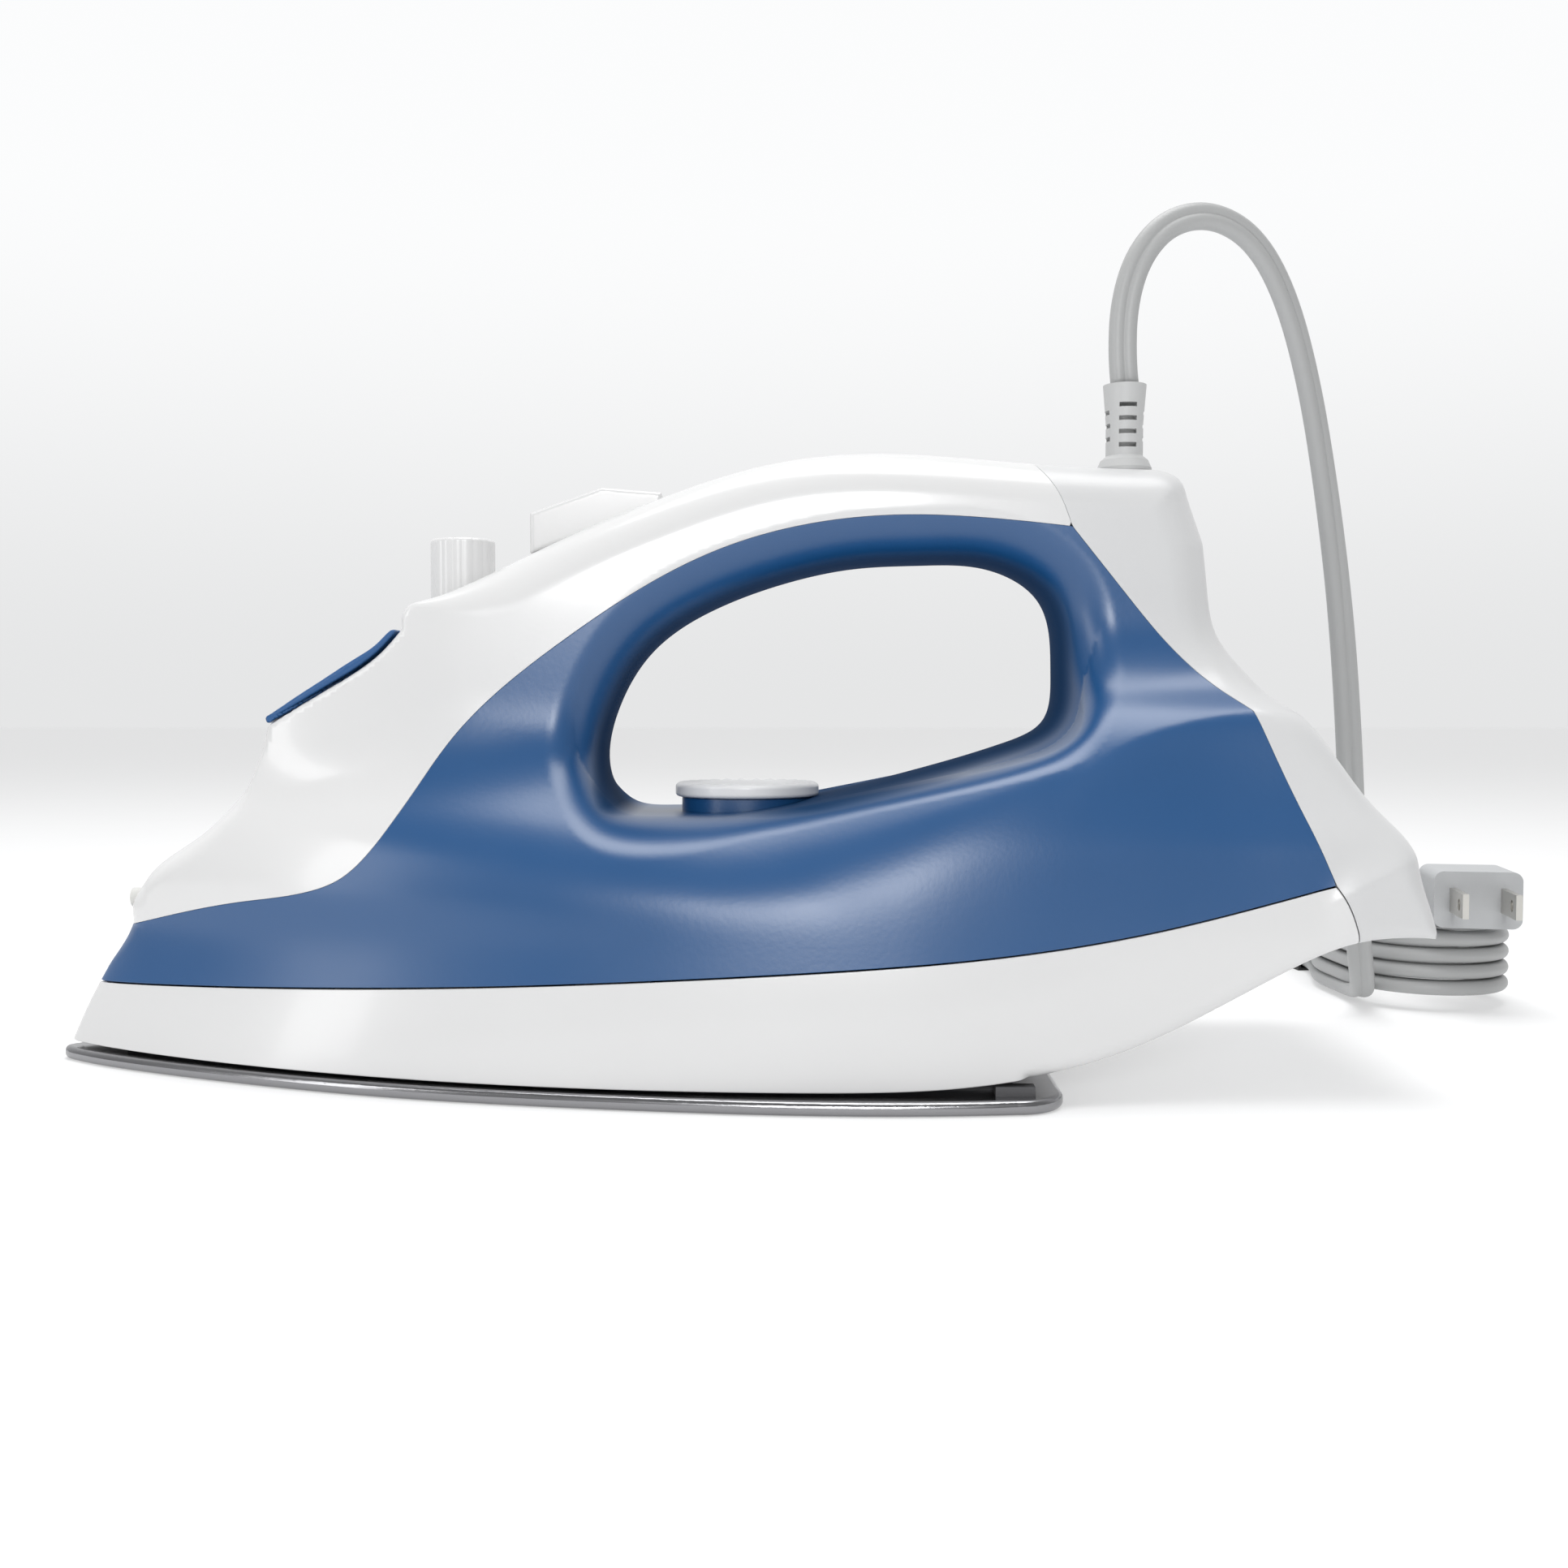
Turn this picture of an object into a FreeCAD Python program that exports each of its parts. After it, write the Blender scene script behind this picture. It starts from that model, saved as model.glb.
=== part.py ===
import FreeCAD, Part
import math
import os

# Steam iron, millimetres. Nose towards -X, heel towards +X, +Z up. The origin is under the
# middle of the overall length, on the surface that the soleplate rests on.

V = FreeCAD.Vector
UP = V(0, 0, 1)
ACROSS = V(0, 1, 0)

# ---- driving dimensions: outer shells ----
nose_x = -149.5            # tip of the soleplate
wall = 2.4                 # moulded shells
far_side = 90.0            # half the reach of every side-view cutter

# ---- soleplate and heater ----
plate_thick = 3.0
plate_half = 57.0
plate_widest_x = 36.0
plate_rear_x = 75.0
plate_rim_radius = 1.2
plate_corner_half = plate_half - 1.4
plate_side = [(64, plate_corner_half), (plate_widest_x, plate_half), (nose_x + 130.5, 51.1),
              (nose_x + 82.4, 40.3), (nose_x + 43.9, 25.8), (nose_x + 17.7, 13.3),
              (nose_x + 4.0, 4.7)]
casting_rear_x = 63.0
casting_inset = 9.0
casting_thick = 12.0
element_radius = 3.3
element_clear = 0.1
element_half = 24.0
chamber_depth = 6.0
cover_thick = 1.5
vent_radius = 1.6
vent_rows = 8
vent_first_x = nose_x + 31.5
vent_pitch = 17.0
vent_margin = 8.0
casting_top = plate_thick + casting_thick
heater_top = casting_top + cover_thick
element_z = 8.4
element_nose_x = nose_x + 49.5
element_route = [(67, element_half, element_z), (10, element_half, element_z),
                 (element_nose_x, 8, element_z), (element_nose_x, -8, element_z),
                 (10, -element_half, element_z), (67, -element_half, element_z)]
chamber_front_x = nose_x + 67.5
chamber_rear_x = -18.0
deck_z = 17.4
deck_thick = 2.0
deck_clear = 0.2
deck_front_x = -116.0
deck_rear_x = 100.0
casting_screw_places = [(nose_x + 37.5, 0), (48, 14), (48, -14)]
screw_radius = 1.7
screw_head_radius = 3.2
fuse_radius = 1.1
fuse_x = 34.0
clip_top_z = 4.9

# ---- dial and thermostat ----
dial_x = 9.0
dial_radius = 16.5
dial_thick = 3.3
dial_z = 60.7
dial_base_radius = 15.0
spindle_radius = 3.0
spindle_clear = 0.06
thermostat_size = V(34, 22, 9)
thermostat_clear = 1.5
spindle_low_z = casting_top + 5.0

# ---- burst knob and pump ----
knob_x = -56.2
knob_radius = 7.3
knob_top_z = 119.6
knob_clear = 0.25
piston_radius = 4.0
piston_clear = 0.05
pump_wall = 2.0
stem_radius = 2.5
knob_low_z = 98.5
pump_top_z = 86.0
piston_low_z = 70.0
spring_radius = 4.2
spring_wire = 0.55
spring_turns = 4
spring_points = 12
suction_radius = 1.8
nozzle_radius = 2.2
nozzle_length = 10.6
nozzle_tip_x = -133.2
nozzle_z = 37.4
hose_radius = 1.5
hose_route = [(-62.25, 0, 64), (-70, 3, 63), (-76, 9.6, 60), (-87, 11, 58.5), (-98, 8.6, 57),
              (-106.5, 4.5, 53), (-112, 2, 46.5), (-114.6, 0.6, 40.8), (-118.8, 0, nozzle_z),
              (nozzle_tip_x + nozzle_length, 0, nozzle_z)]
tank_front_x = -104.0
tank_rear_x = -14.0
tank_low_z = 26.0
tank_top_z = 51.5
tank_wall = 1.5
tank_clear = 0.4
seat_radius = 5.0
funnel_x = -84.0
funnel_radius = 7.0
funnel_top_z = 74.0

# ---- steam slider and valve ----
slider_front_x = -40.4
slider_length = 30.0
slider_half = 3.2
slider_slope = math.radians(23.6)
slider_travel = 8.0
slider_clear = 0.3
valve_x = -36.0
valve_radius = 1.6
valve_clear = 0.06
slider_base_z = 115.0      # crown of the handle under the slider's front end
slider_stem_half = 2.0
slider_foot_z = 104.5

# ---- water lid ----
lid_clear = 0.3
lid_pin_radius = 1.0
lid_pin_clear = 0.06
lid_pin_x = -67.0
lid_pin_z = 96.95
lid_pin_half = 11.0
lid_barrel_half = 8.0
lid_ear_radius = 2.2
lid_ear_low_z = 91.8
lid_barrel_radius = 2.4
mouth_front_x = -86.0
mouth_rear_x = -80.0
mouth_half = 6.0
rear_screw_x = 136.0
rear_screw_y = 24.0
rear_screw_z = 48.0
boss_radius = 4.5

# ---- cord, guard and plug ----
guard_x = 95.4
guard_top_z = 154.7
guard_collar_z = 135.2
guard_slots = 4
guard_slot_z = 140.8
guard_slot_pitch = 3.0
guard_waist = 4.2
guard_rim = 4.9
guard_bore_clear = 0.15
guard_neck_radius = 6.2
guard_neck_clear = 0.08
guard_flange_radius = 7.6
guard_flange_thick = 2.0
guard_bottom_z = 128.0
lead_offset = 1.7
retainer_low_z = 125.3
retainer_front_x = 86.0
retainer_rear_x = 105.0
retainer_thick = 2.4
clamp_low_z = 108.0
clamp_top_z = 113.0
clamp_clear = 0.3
clamp_front_x = 88.0
clamp_rear_x = 104.0
lead_radius = 1.1
terminal_front_x = 80.0
terminal_rear_x = 99.0
terminal_top_z = 33.0
cord_width = 6.4           # flat twin cord: the longer side of its section
cord_thick = 4.4
cord_tube_radius = (cord_width + cord_thick) / 4
hank_layers = 5
hank_fold_radius = 19.2
hank_run = 96.0
hank_waist = 9.0           # from the middle to the cord's centreline, under the tie
hank_center = V(191, 126, 0)
hank_turn = math.radians(-84)
tie_width = 12.0
tie_thick = 0.8
tie_at = -8.0
tie_clear = 0.3
plug_length = 22.0
plug_wide = 22.0
plug_high = 15.0
blade_gap = 12.7
blade_wide = 6.35
blade_thick = 1.52
blade_length = 16.0
plug_neck = 9.0
tail_route = [(1, 9.3, 20.6), (11, 10.6, 22.6), (21, 12.6, 27.0), (30, 13.6, 30.0),
              (39, 12.8, 30.8), (47, 10.3, 30.8)]
plug_turn = math.atan2(tail_route[-1][1] - tail_route[-2][1], tail_route[-1][0] - tail_route[-2][0])

# Cord route from the bottom of the guard to the hank, on the side the cord falls.
cord_route = [
    (95.4, 0, 128), (95.2, 0, 145), (94.7, 0.2, 161), (95.2, 0.5, 174), (98.8, 1.2, 185),
    (106, 2.8, 192.8), (116.4, 5.4, 195.2), (127.2, 8.8, 190.6), (136, 13, 178.5),
    (143.4, 18, 159), (149.6, 23, 134), (154.9, 27.4, 106), (158.4, 30.8, 78),
    (160.9, 34, 52), (163.8, 39.2, 31), (167.9, 46.7, 17.5), (172.4, 56.7, 7.6),
    (176.4, 69, 3.2), (176.0, 83, 3.0),
]

# ---- side-view curves, as (x, z) ----
skirt_bottom = [(-150, 4.2), (-60, 3.6), (20, 3.6), (58, 4.9), (86, 10.4), (116.6, 24.7),
                (133.3, 32.7), (158, 33.2)]
skirt_line = [(-150, 17.6), (-98.3, 20.4), (-51, 23.0), (5.2, 26.5), (37.5, 28.6),
              (69.8, 31.6), (96, 36.1), (128.2, 44.3)]
cover_line = [(-142, 29.0), (-132.4, 31.5), (-100.7, 38.8), (-84.5, 41.7), (-76.9, 44.7),
              (-70.1, 51.0), (-57.7, 70.9), (-31.3, 95.6), (3.9, 116.1), (39.7, 123.3),
              (80.8, 120.9)]
rear_line_top = [(70, 145), (73.2, 136), (77, 130), (80.8, 120.9)]
rear_line_upper = [(80.8, 120.9), (95.3, 102), (106.7, 87.9), (114.1, 80.4)]
rear_line_lower = [(128.2, 44.3), (131.4, 39), (133.3, 32.7)]
top_line = [(-170, 20), (-134.5, 33), (-131.3, 40), (-114.8, 52.3), (-107.3, 59.1),
            (-99.8, 70.9), (-97.9, 77.4)]
lid_slope = [(-97.9, 77.4), (-64.2, 95.4)]
crown_line = [(-64.2, 101.5), (-48.8, 110.8), (-10.4, 128.2), (16.4, 136.3), (41.7, 138.2),
              (74.5, 135.9), (105.8, 134.4), (125, 133.6)]
grip_hole = [(-22.9, 68), (-20.4, 82), (-12.7, 94.4), (2.8, 104.7), (18.3, 110.3),
             (33.7, 113.5), (49.2, 114.3), (64.7, 113.5), (77.3, 105.8), (80.2, 87.4),
             (75.3, 74.9), (33.7, 62.2), (9, 57.5), (-12, 57.2)]

# ---- level sections: height, nose, heel, half-width of the tank, half-width at the heel,
# distance from the nose to the full width, and how slowly the nose fills out ----
levels = [
    (2.6, -147.4, 149.3, 52.5, 44.5, 184, 0.82),
    (12, -143.2, 149.5, 52.0, 44.8, 180, 0.82),
    (22, -137.8, 149.5, 51.2, 45.0, 175, 0.82),
    (32, -132.6, 149.4, 49.8, 45.0, 170, 0.80),
    (42, -130.0, 148.0, 46.8, 44.2, 158, 0.78),
    (50, -125.5, 146.2, 41.5, 43.0, 142, 0.74),
    (57, -121.0, 142.6, 33.0, 41.0, 124, 0.70),
    (64, -117.0, 137.6, 25.0, 38.0, 104, 0.66),
    (72, -114.5, 131.6, 20.5, 34.5, 84, 0.62),
    (80, -113.0, 126.0, 18.8, 31.0, 68, 0.60),
    (88, -110.0, 118.9, 18.2, 24.5, 60, 0.60),
    (97, -102.0, 112.5, 17.8, 18.6, 52, 0.60),
    (110, -86.0, 110.0, 17.2, 16.8, 46, 0.60),
    (124, -62.0, 107.8, 16.6, 16.2, 40, 0.60),
    (142, -40.0, 106.9, 16.0, 16.0, 36, 0.60),
]
widest_x = 36.0
front_steps = (0.03, 0.1, 0.22, 0.38, 0.56, 0.78, 1.0)
rear_steps = (0.3, 0.58, 0.8, 0.93)
corner_share = 0.86


def save(shape, name):
    """Write one node and report a shape that isn't one or more good closed solids."""
    good = shape.isValid() and len(shape.Solids) > 0 and shape.Volume > 0
    print(f"{name:22s} solids {len(shape.Solids)} volume {shape.Volume:10.1f} {'ok' if good else 'BAD'}")
    shape.exportStep(f"parts/{name}.step")


def cylinder(radius, low, high, x=0.0, y=0.0):
    return Part.makeCylinder(radius, high - low, V(x, y, low))


def ring(outer, inner, low, high, x=0.0, y=0.0):
    return cylinder(outer, low, high, x, y).cut(cylinder(inner, low - 1, high + 1, x, y))


def block(low_x, high_x, low_y, high_y, low_z, high_z):
    return Part.makeBox(high_x - low_x, high_y - low_y, high_z - low_z, V(low_x, low_y, low_z))


def curve(points, closed=False):
    spline = Part.BSplineCurve()
    spline.interpolate(Points=[V(x, 0, z) for x, z in points], PeriodicFlag=closed)
    return spline.toShape()


def polyline(points):
    """Straight side-view edges through (x, z) points."""
    at = [V(x, 0, z) for x, z in points]
    return [Part.makeLine(a, b) for a, b in zip(at, at[1:])]


def side_prism(edges):
    """A cutter: the side-view region inside the edges, right across the iron."""
    face = Part.Face(Part.Wire(edges))
    face.translate(V(0, -far_side, 0))
    return face.extrude(V(0, 2 * far_side, 0))


def grown(points, by):
    """A closed side-view outline moved outwards, by its neighbours' direction at each point."""
    out = []
    for i, (x, z) in enumerate(points):
        back = points[i - 1]
        ahead = points[(i + 1) % len(points)]
        along = (ahead[0] - back[0], ahead[1] - back[1])
        size = math.hypot(*along)
        out.append((x - along[1] / size * by, z + along[0] / size * by))
    return out


def smooth(low, high, at):
    share = min(max((at - low) / (high - low), 0.0), 1.0)
    return share * share * (3 - 2 * share)


def plan_half(x, nose, front, rear, reach, fullness):
    """Half-width in plan at x, for a level whose tank and heel have these half-widths."""
    share = min(max((x - nose) / reach, 0.0), 1.0)
    blend = smooth(40.0, 118.0, x)
    return (front * (1 - blend) + rear * blend) * math.sin(math.pi / 2 * share ** fullness)


def level_wire(z, nose, heel, front, rear, reach, fullness):
    """One closed level section; every level has the same points and parameters."""
    side = []
    for share in front_steps:
        x = nose + (widest_x - nose) * share
        side.append((x, plan_half(x, nose, front, rear, reach, fullness)))
    for share in rear_steps:
        x = widest_x + (heel - widest_x) * share
        side.append((x, plan_half(x, nose, front, rear, reach, fullness)))
    side[-1] = (side[-1][0], side[-1][1] * 0.985)
    side.append((heel - 1.6, rear * corner_share))
    side.append((heel, rear * 0.5))
    ring_points = [V(nose, 0, z)]
    ring_points += [V(x, y, z) for x, y in side]
    ring_points.append(V(heel + 0.2, 0, z))
    ring_points += [V(x, -y, z) for x, y in reversed(side)]
    steps = len(ring_points)
    spline = Part.BSplineCurve()
    spline.interpolate(Points=ring_points, PeriodicFlag=True,
                       Parameters=[i / steps for i in range(steps + 1)])
    return Part.Wire(spline.toShape())


def body_loft(inset):
    """The whole upper body through its levels, each level drawn in by inset."""
    wires = []
    for z, nose, heel, front, rear, reach, fullness in levels:
        wires.append(level_wire(z, nose + 1.6 * inset, heel - inset, front - inset,
                                rear - inset, reach, fullness))
    return Part.makeLoft(wires, True, False)


def side_outline(inset):
    """Side-view region of the body: bottom edge, nose and crown, drawn in by inset."""
    floor = skirt_bottom
    if inset:
        floor = [(x, z - 1.0 + (inset + 1.0) * smooth(60, 84, x)) for x, z in skirt_bottom]
    crown = [(x, z - inset) for x, z in crown_line]
    slope = [(x + 0.9 * inset, z - inset) for x, z in lid_slope]
    front = [(x + inset, z - 0.4 * inset) for x, z in top_line]
    front[-1] = slope[0]
    low = (-170, floor[0][1])
    edges = [curve(floor), curve(front), curve(crown)]
    edges += polyline([slope[0], slope[1], crown[0]])
    edges += polyline([crown[-1], (170, crown[-1][1]), (170, floor[-1][1]), floor[-1]])
    edges += polyline([floor[0], low, front[0]])
    return side_prism(Part.__sortEdges__(edges))


def shell_blank():
    """The hollow body with the grip opening through it, and the hollow inside it."""
    outer = body_loft(0.0).common(side_outline(0.0))
    inner = body_loft(wall).common(side_outline(wall))
    hole = side_prism([curve(grip_hole, closed=True)])
    liner = side_prism([curve(grown(grip_hole, wall), closed=True)])
    hollow = inner.cut(liner)
    return outer.cut(hole).cut(hollow), hollow


def shell_regions():
    """Side-view cutters for the skirt, the top cover and the rear cover."""
    skirt = [curve(skirt_line), curve(rear_line_lower)]
    skirt += polyline([rear_line_lower[-1], (133.3, -20), (-170, -20), (-170, 17.6), skirt_line[0]])
    top = [curve(cover_line), curve(rear_line_top)]
    top += polyline([rear_line_top[0], (70, 160), (-170, 160), (-170, 29), cover_line[0]])
    rear = [curve(rear_line_top), curve(rear_line_upper), curve(rear_line_lower)]
    rear += polyline([rear_line_upper[-1], rear_line_lower[0]])
    rear += polyline([rear_line_lower[-1], (133.3, 20), (170, 20), (170, 160), (70, 160),
                      rear_line_top[0]])
    return [side_prism(Part.__sortEdges__(edges)) for edges in (skirt, top, rear)]


def plate_outline():
    """The soleplate in plan: one spline round the nose, two corner arcs and a rear edge."""
    spline = Part.BSplineCurve()
    loop = plate_side + [(nose_x, 0)] + [(x, -y) for x, y in reversed(plate_side)]
    spline.interpolate([V(x, y, 0) for x, y in loop])
    start_x, start_y = plate_side[0]
    corner = [V(start_x, start_y, 0), V(71.6, start_y - 3.2, 0), V(74.4, start_y - 10.6, 0)]
    left = Part.Arc(*corner)
    right = Part.Arc(*[V(p.x, -p.y, 0) for p in reversed(corner)])
    back = Part.Arc(corner[2], V(plate_rear_x, 0, 0), V(corner[2].x, -corner[2].y, 0))
    return Part.Wire([left.toShape(), back.toShape(), right.toShape(), spline.toShape()])


def casting_outline():
    """The heater casting in plan: the soleplate's side curve drawn in, and a straight rear."""
    by = 1.12 * casting_inset
    side = [(x, y - by) for x, y in plate_side if y > by + 2]
    side[0] = (casting_rear_x, side[0][1])
    loop = side + [(nose_x + 1.6 * casting_inset, 0)] + [(x, -y) for x, y in reversed(side)]
    spline = Part.BSplineCurve()
    spline.interpolate([V(x, y, plate_thick) for x, y in loop])
    ends = [V(*loop[-1], plate_thick), V(*loop[0], plate_thick)]
    return Part.Wire([spline.toShape(), Part.makeLine(*ends)])


def vent_places():
    """Steam vents: a row along each side of the nose, and a middle row under the chamber."""
    places = []
    for i in range(vent_rows):
        x = vent_first_x + vent_pitch * i
        half = plate_half * math.sin(math.pi / 2 * ((x - nose_x) / 184) ** 0.82) - vent_margin
        places += [(x, half), (x, -half)]
        if chamber_front_x < x < chamber_rear_x:
            places.append((x, 0.0))
    return places


def swept_tube(points, radius, show=None):
    """A tube along straight runs joined by tangent arcs, each as large as its runs allow."""
    at = [V(*p) for p in points]
    edges = []
    start = at[0]
    radii = []
    for before, corner, after in zip(at, at[1:], at[2:]):
        back = (before - corner)
        ahead = (after - corner)
        short = min(back.Length, ahead.Length)
        back.normalize()
        ahead.normalize()
        turn = math.pi - back.getAngle(ahead)
        reach = 0.45 * short
        arc_radius = reach / math.tan(turn / 2)
        radii.append(arc_radius)
        enter = corner + back * reach
        leave = corner + ahead * reach
        middle = back + ahead
        middle.normalize()
        centre = corner + middle * math.hypot(arc_radius, reach)
        crest = centre - middle * arc_radius
        edges.append(Part.LineSegment(start, enter).toShape())
        edges.append(Part.Arc(enter, crest, leave).toShape())
        start = leave
    edges.append(Part.LineSegment(start, at[-1]).toShape())
    path = Part.Wire(edges)
    first = at[1] - at[0]
    profile = Part.Wire(Part.makeCircle(radius, at[0], first))
    tube = path.makePipeShell([profile], True, False)
    if show:
        share = tube.Volume / (math.pi * radius ** 2 * path.Length)
        print(f"{show}: length {path.Length:.1f}, volume over section times length {share:.4f}")
        print(f"{show}: arc radii " + " ".join(f"{r:.0f}" for r in radii))
    return tube


def hank_place(along, aside, height):
    """A point of the hank, from its own axes: along it, aside of it and up."""
    ahead = V(math.cos(hank_turn), math.sin(hank_turn), 0)
    right = V(-ahead.y, ahead.x, 0)
    return hank_center + ahead * along + right * aside + UP * height


def hank_half(along):
    """Half the distance between the two sides of a turn: the tie draws them together."""
    away = abs(along - tie_at) - tie_width / 2 - 1.0
    return hank_waist + (hank_fold_radius - hank_waist) * smooth(0.0, 33.0, away)


def hank_outline(margin):
    """The turns seen from above, margin outside or inside the cord's centreline."""
    points = []
    steps = 8
    for i in range(1, steps):
        along = -hank_run / 2 + hank_run * i / steps
        points.append((along, hank_half(along) + margin))
    for i in range(7):
        angle = math.pi / 2 - math.pi * i / 6
        reach = hank_fold_radius + margin
        points.append((hank_run / 2 + reach * math.cos(angle), reach * math.sin(angle)))
    for i in range(steps - 1, 0, -1):
        along = -hank_run / 2 + hank_run * i / steps
        points.append((along, -hank_half(along) - margin))
    for i in range(7):
        angle = -math.pi / 2 - math.pi * i / 6
        reach = hank_fold_radius + margin
        points.append((-hank_run / 2 + reach * math.cos(angle), reach * math.sin(angle)))
    spline = Part.BSplineCurve()
    spline.interpolate(Points=[hank_place(a, b, tie_thick) for a, b in points], PeriodicFlag=True)
    return Part.Face(Part.Wire(spline.toShape()))


# ---- outer shells ----

def make_shells(blank, hollow):
    skirt_region, top_region, rear_region = shell_regions()
    skirt = blank.common(skirt_region)
    deck = hollow.common(block(deck_front_x, deck_rear_x, -60, 60, deck_z, deck_z + deck_thick))
    skirt = skirt.fuse(deck.common(skirt_region))
    skirt = skirt.cut(cylinder(seat_radius + deck_clear, 0, 60, valve_x))
    skirt = skirt.cut(thermostat_block(thermostat_clear))
    for side in (-1, 1):
        near, far = sorted((8 * side, 27 * side))
        skirt = skirt.cut(block(66, 78, near, far, deck_z - 5, deck_z + 5))
    for x, y in casting_screw_places:
        skirt = skirt.cut(cylinder(screw_radius, 0, 60, x, y))
    top = blank.common(top_region)
    top = top.cut(cylinder(knob_radius + knob_clear, knob_low_z - 8, 140, knob_x))
    top = top.cut(slider_slot())
    top = top.cut(fill_mouth())
    for side in (-1, 1):
        top = top.fuse(lid_ear_block(side, 0.0))
    top = top.cut(lid_pin(0.0))
    top = top.cut(Part.makeCylinder(nozzle_radius, 30, V(-150, 0, nozzle_z), V(1, 0, 0)))
    rear = blank.common(rear_region)
    rear = rear.fuse(rear_bosses())
    rear_screws = [rear_screw(y) for y in (-rear_screw_y, rear_screw_y)]
    save(Part.makeCompound(rear_screws), "rear_cover_screws")
    for y in (-rear_screw_y, rear_screw_y):
        rear = rear.cut(rear_screw(y))
        rear = rear.cut(Part.makeCylinder(screw_head_radius + 0.4, 30, V(rear_screw_x, y, rear_screw_z),
                                          V(1, 0, 0)))
    rear = rear.cut(cylinder(guard_neck_radius + guard_neck_clear, guard_bottom_z + 3, 150, guard_x))
    body = blank.cut(skirt_region).cut(top_region).cut(rear_region)
    body = body.cut(cylinder(dial_base_radius, 50, 70, dial_x))
    save(skirt, "heat_skirt")
    save(top, "top_cover")
    save(rear, "rear_cover")
    save(body, "body_shell")


def thermostat_block(margin):
    size = thermostat_size
    return block(dial_x - size.x / 2 - margin, dial_x + size.x / 2 + margin,
                 -size.y / 2 - margin, size.y / 2 + margin,
                 casting_top - margin, casting_top + size.z + margin)


def slope_box(low, high, half, below, above):
    """A block along the slider's slope: from low to high along it, about its own middle."""
    box = Part.makeBox(high - low, 2 * half, below + above, V(low, -half, -below))
    box.rotate(V(0, 0, 0), ACROSS, -math.degrees(slider_slope))
    box.translate(V(slider_front_x, 0, slider_base_z))
    return box


def slider_slot():
    reach = slider_length / math.cos(slider_slope) + slider_travel
    return slope_box(4.0 - slider_clear, reach - 3.0 + slider_clear, slider_stem_half + slider_clear, 12, 3)


def fill_mouth():
    mouth = block(mouth_front_x, mouth_rear_x, -mouth_half, mouth_half, 60, 110)
    ends = [cylinder(mouth_half, 60, 110, x) for x in (mouth_front_x, mouth_rear_x)]
    return mouth.fuse(ends)


def lid_pin(clear):
    half = lid_pin_half
    return Part.makeCylinder(lid_pin_radius + clear, 2 * half, V(lid_pin_x, -half, lid_pin_z), ACROSS)


def lid_ear_block(y, margin):
    """One lug for the lid's pin, on the side of the barrel that y is on, grown by margin."""
    reach = lid_ear_radius + margin
    low, high = sorted((math.copysign(lid_barrel_half + lid_clear - margin, y),
                        math.copysign(lid_pin_half + margin, y)))
    eye = Part.makeCylinder(reach, high - low, V(lid_pin_x, low, lid_pin_z), ACROSS)
    return eye.fuse(block(lid_pin_x - reach, lid_pin_x + reach, low, high, lid_ear_low_z, lid_pin_z))


def rear_bosses():
    bosses = []
    for y in (-rear_screw_y, rear_screw_y):
        post = Part.makeCylinder(boss_radius, 40, V(rear_screw_x - 14, y, rear_screw_z), V(1, 0, 0))
        bosses.append(post.common(body_loft(0.0)))
    return bosses[0].fuse(bosses[1])


def rear_screw(y):
    shank = Part.makeCylinder(screw_radius, 12, V(rear_screw_x - 12, y, rear_screw_z), V(1, 0, 0))
    head = Part.makeCylinder(screw_head_radius, 2.2, V(rear_screw_x, y, rear_screw_z), V(1, 0, 0))
    return shank.fuse(head)


# ---- heater ----

def make_heater():
    outline = plate_outline()
    plate = Part.Face(outline).extrude(V(0, 0, plate_thick))
    rims = [e for e in plate.Edges if abs(e.BoundBox.ZMax - e.BoundBox.ZMin) < 1e-6]
    plate = plate.makeFillet(plate_rim_radius, rims)
    for x, y in vent_places():
        plate = plate.cut(cylinder(vent_radius, -1, plate_thick + 1, x, y))
    save(plate, "soleplate")

    casting = Part.Face(casting_outline()).extrude(V(0, 0, casting_thick))
    casting = casting.cut(swept_tube(element_route, element_radius + element_clear))
    casting = casting.cut(chamber(0.0, casting_top - chamber_depth, casting_top + 1))
    for x, y in vent_places():
        if y == 0.0:
            casting = casting.cut(cylinder(vent_radius, 0, casting_top, x, y))
    for x, y in casting_screw_places:
        casting = casting.cut(cylinder(screw_radius, casting_top - 6, casting_top + 1, x, y))
    save(casting, "heater_casting")
    save(swept_tube(element_route, element_radius), "heating_element")
    plug = chamber(4.0, casting_top, heater_top)
    plug = plug.cut(cylinder(valve_radius + 0.6, 0, 40, valve_x))
    save(plug, "steam_chamber_cover")
    save(thermostat_block(0.0).cut(cylinder(spindle_radius + spindle_clear, spindle_low_z, 60, dial_x)),
         "thermostat")
    fuse_body = Part.makeCylinder(fuse_radius, 16, V(fuse_x, -8, casting_top + fuse_radius), ACROSS)
    save(fuse_body, "thermal_fuse")
    screws = []
    for x, y in casting_screw_places:
        shank = cylinder(screw_radius, casting_top - 6, deck_z + deck_thick, x, y)
        head = cylinder(screw_head_radius, deck_z + deck_thick, deck_z + deck_thick + 2.2, x, y)
        screws.append(shank.fuse(head))
    save(Part.makeCompound(screws), "casting_screws")
    clips = [block(60, 68, *sorted((48.2 * side, 51.5 * side)), plate_thick, clip_top_z)
             for side in (-1, 1)]
    save(Part.makeCompound(clips), "soleplate_clips")


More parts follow.
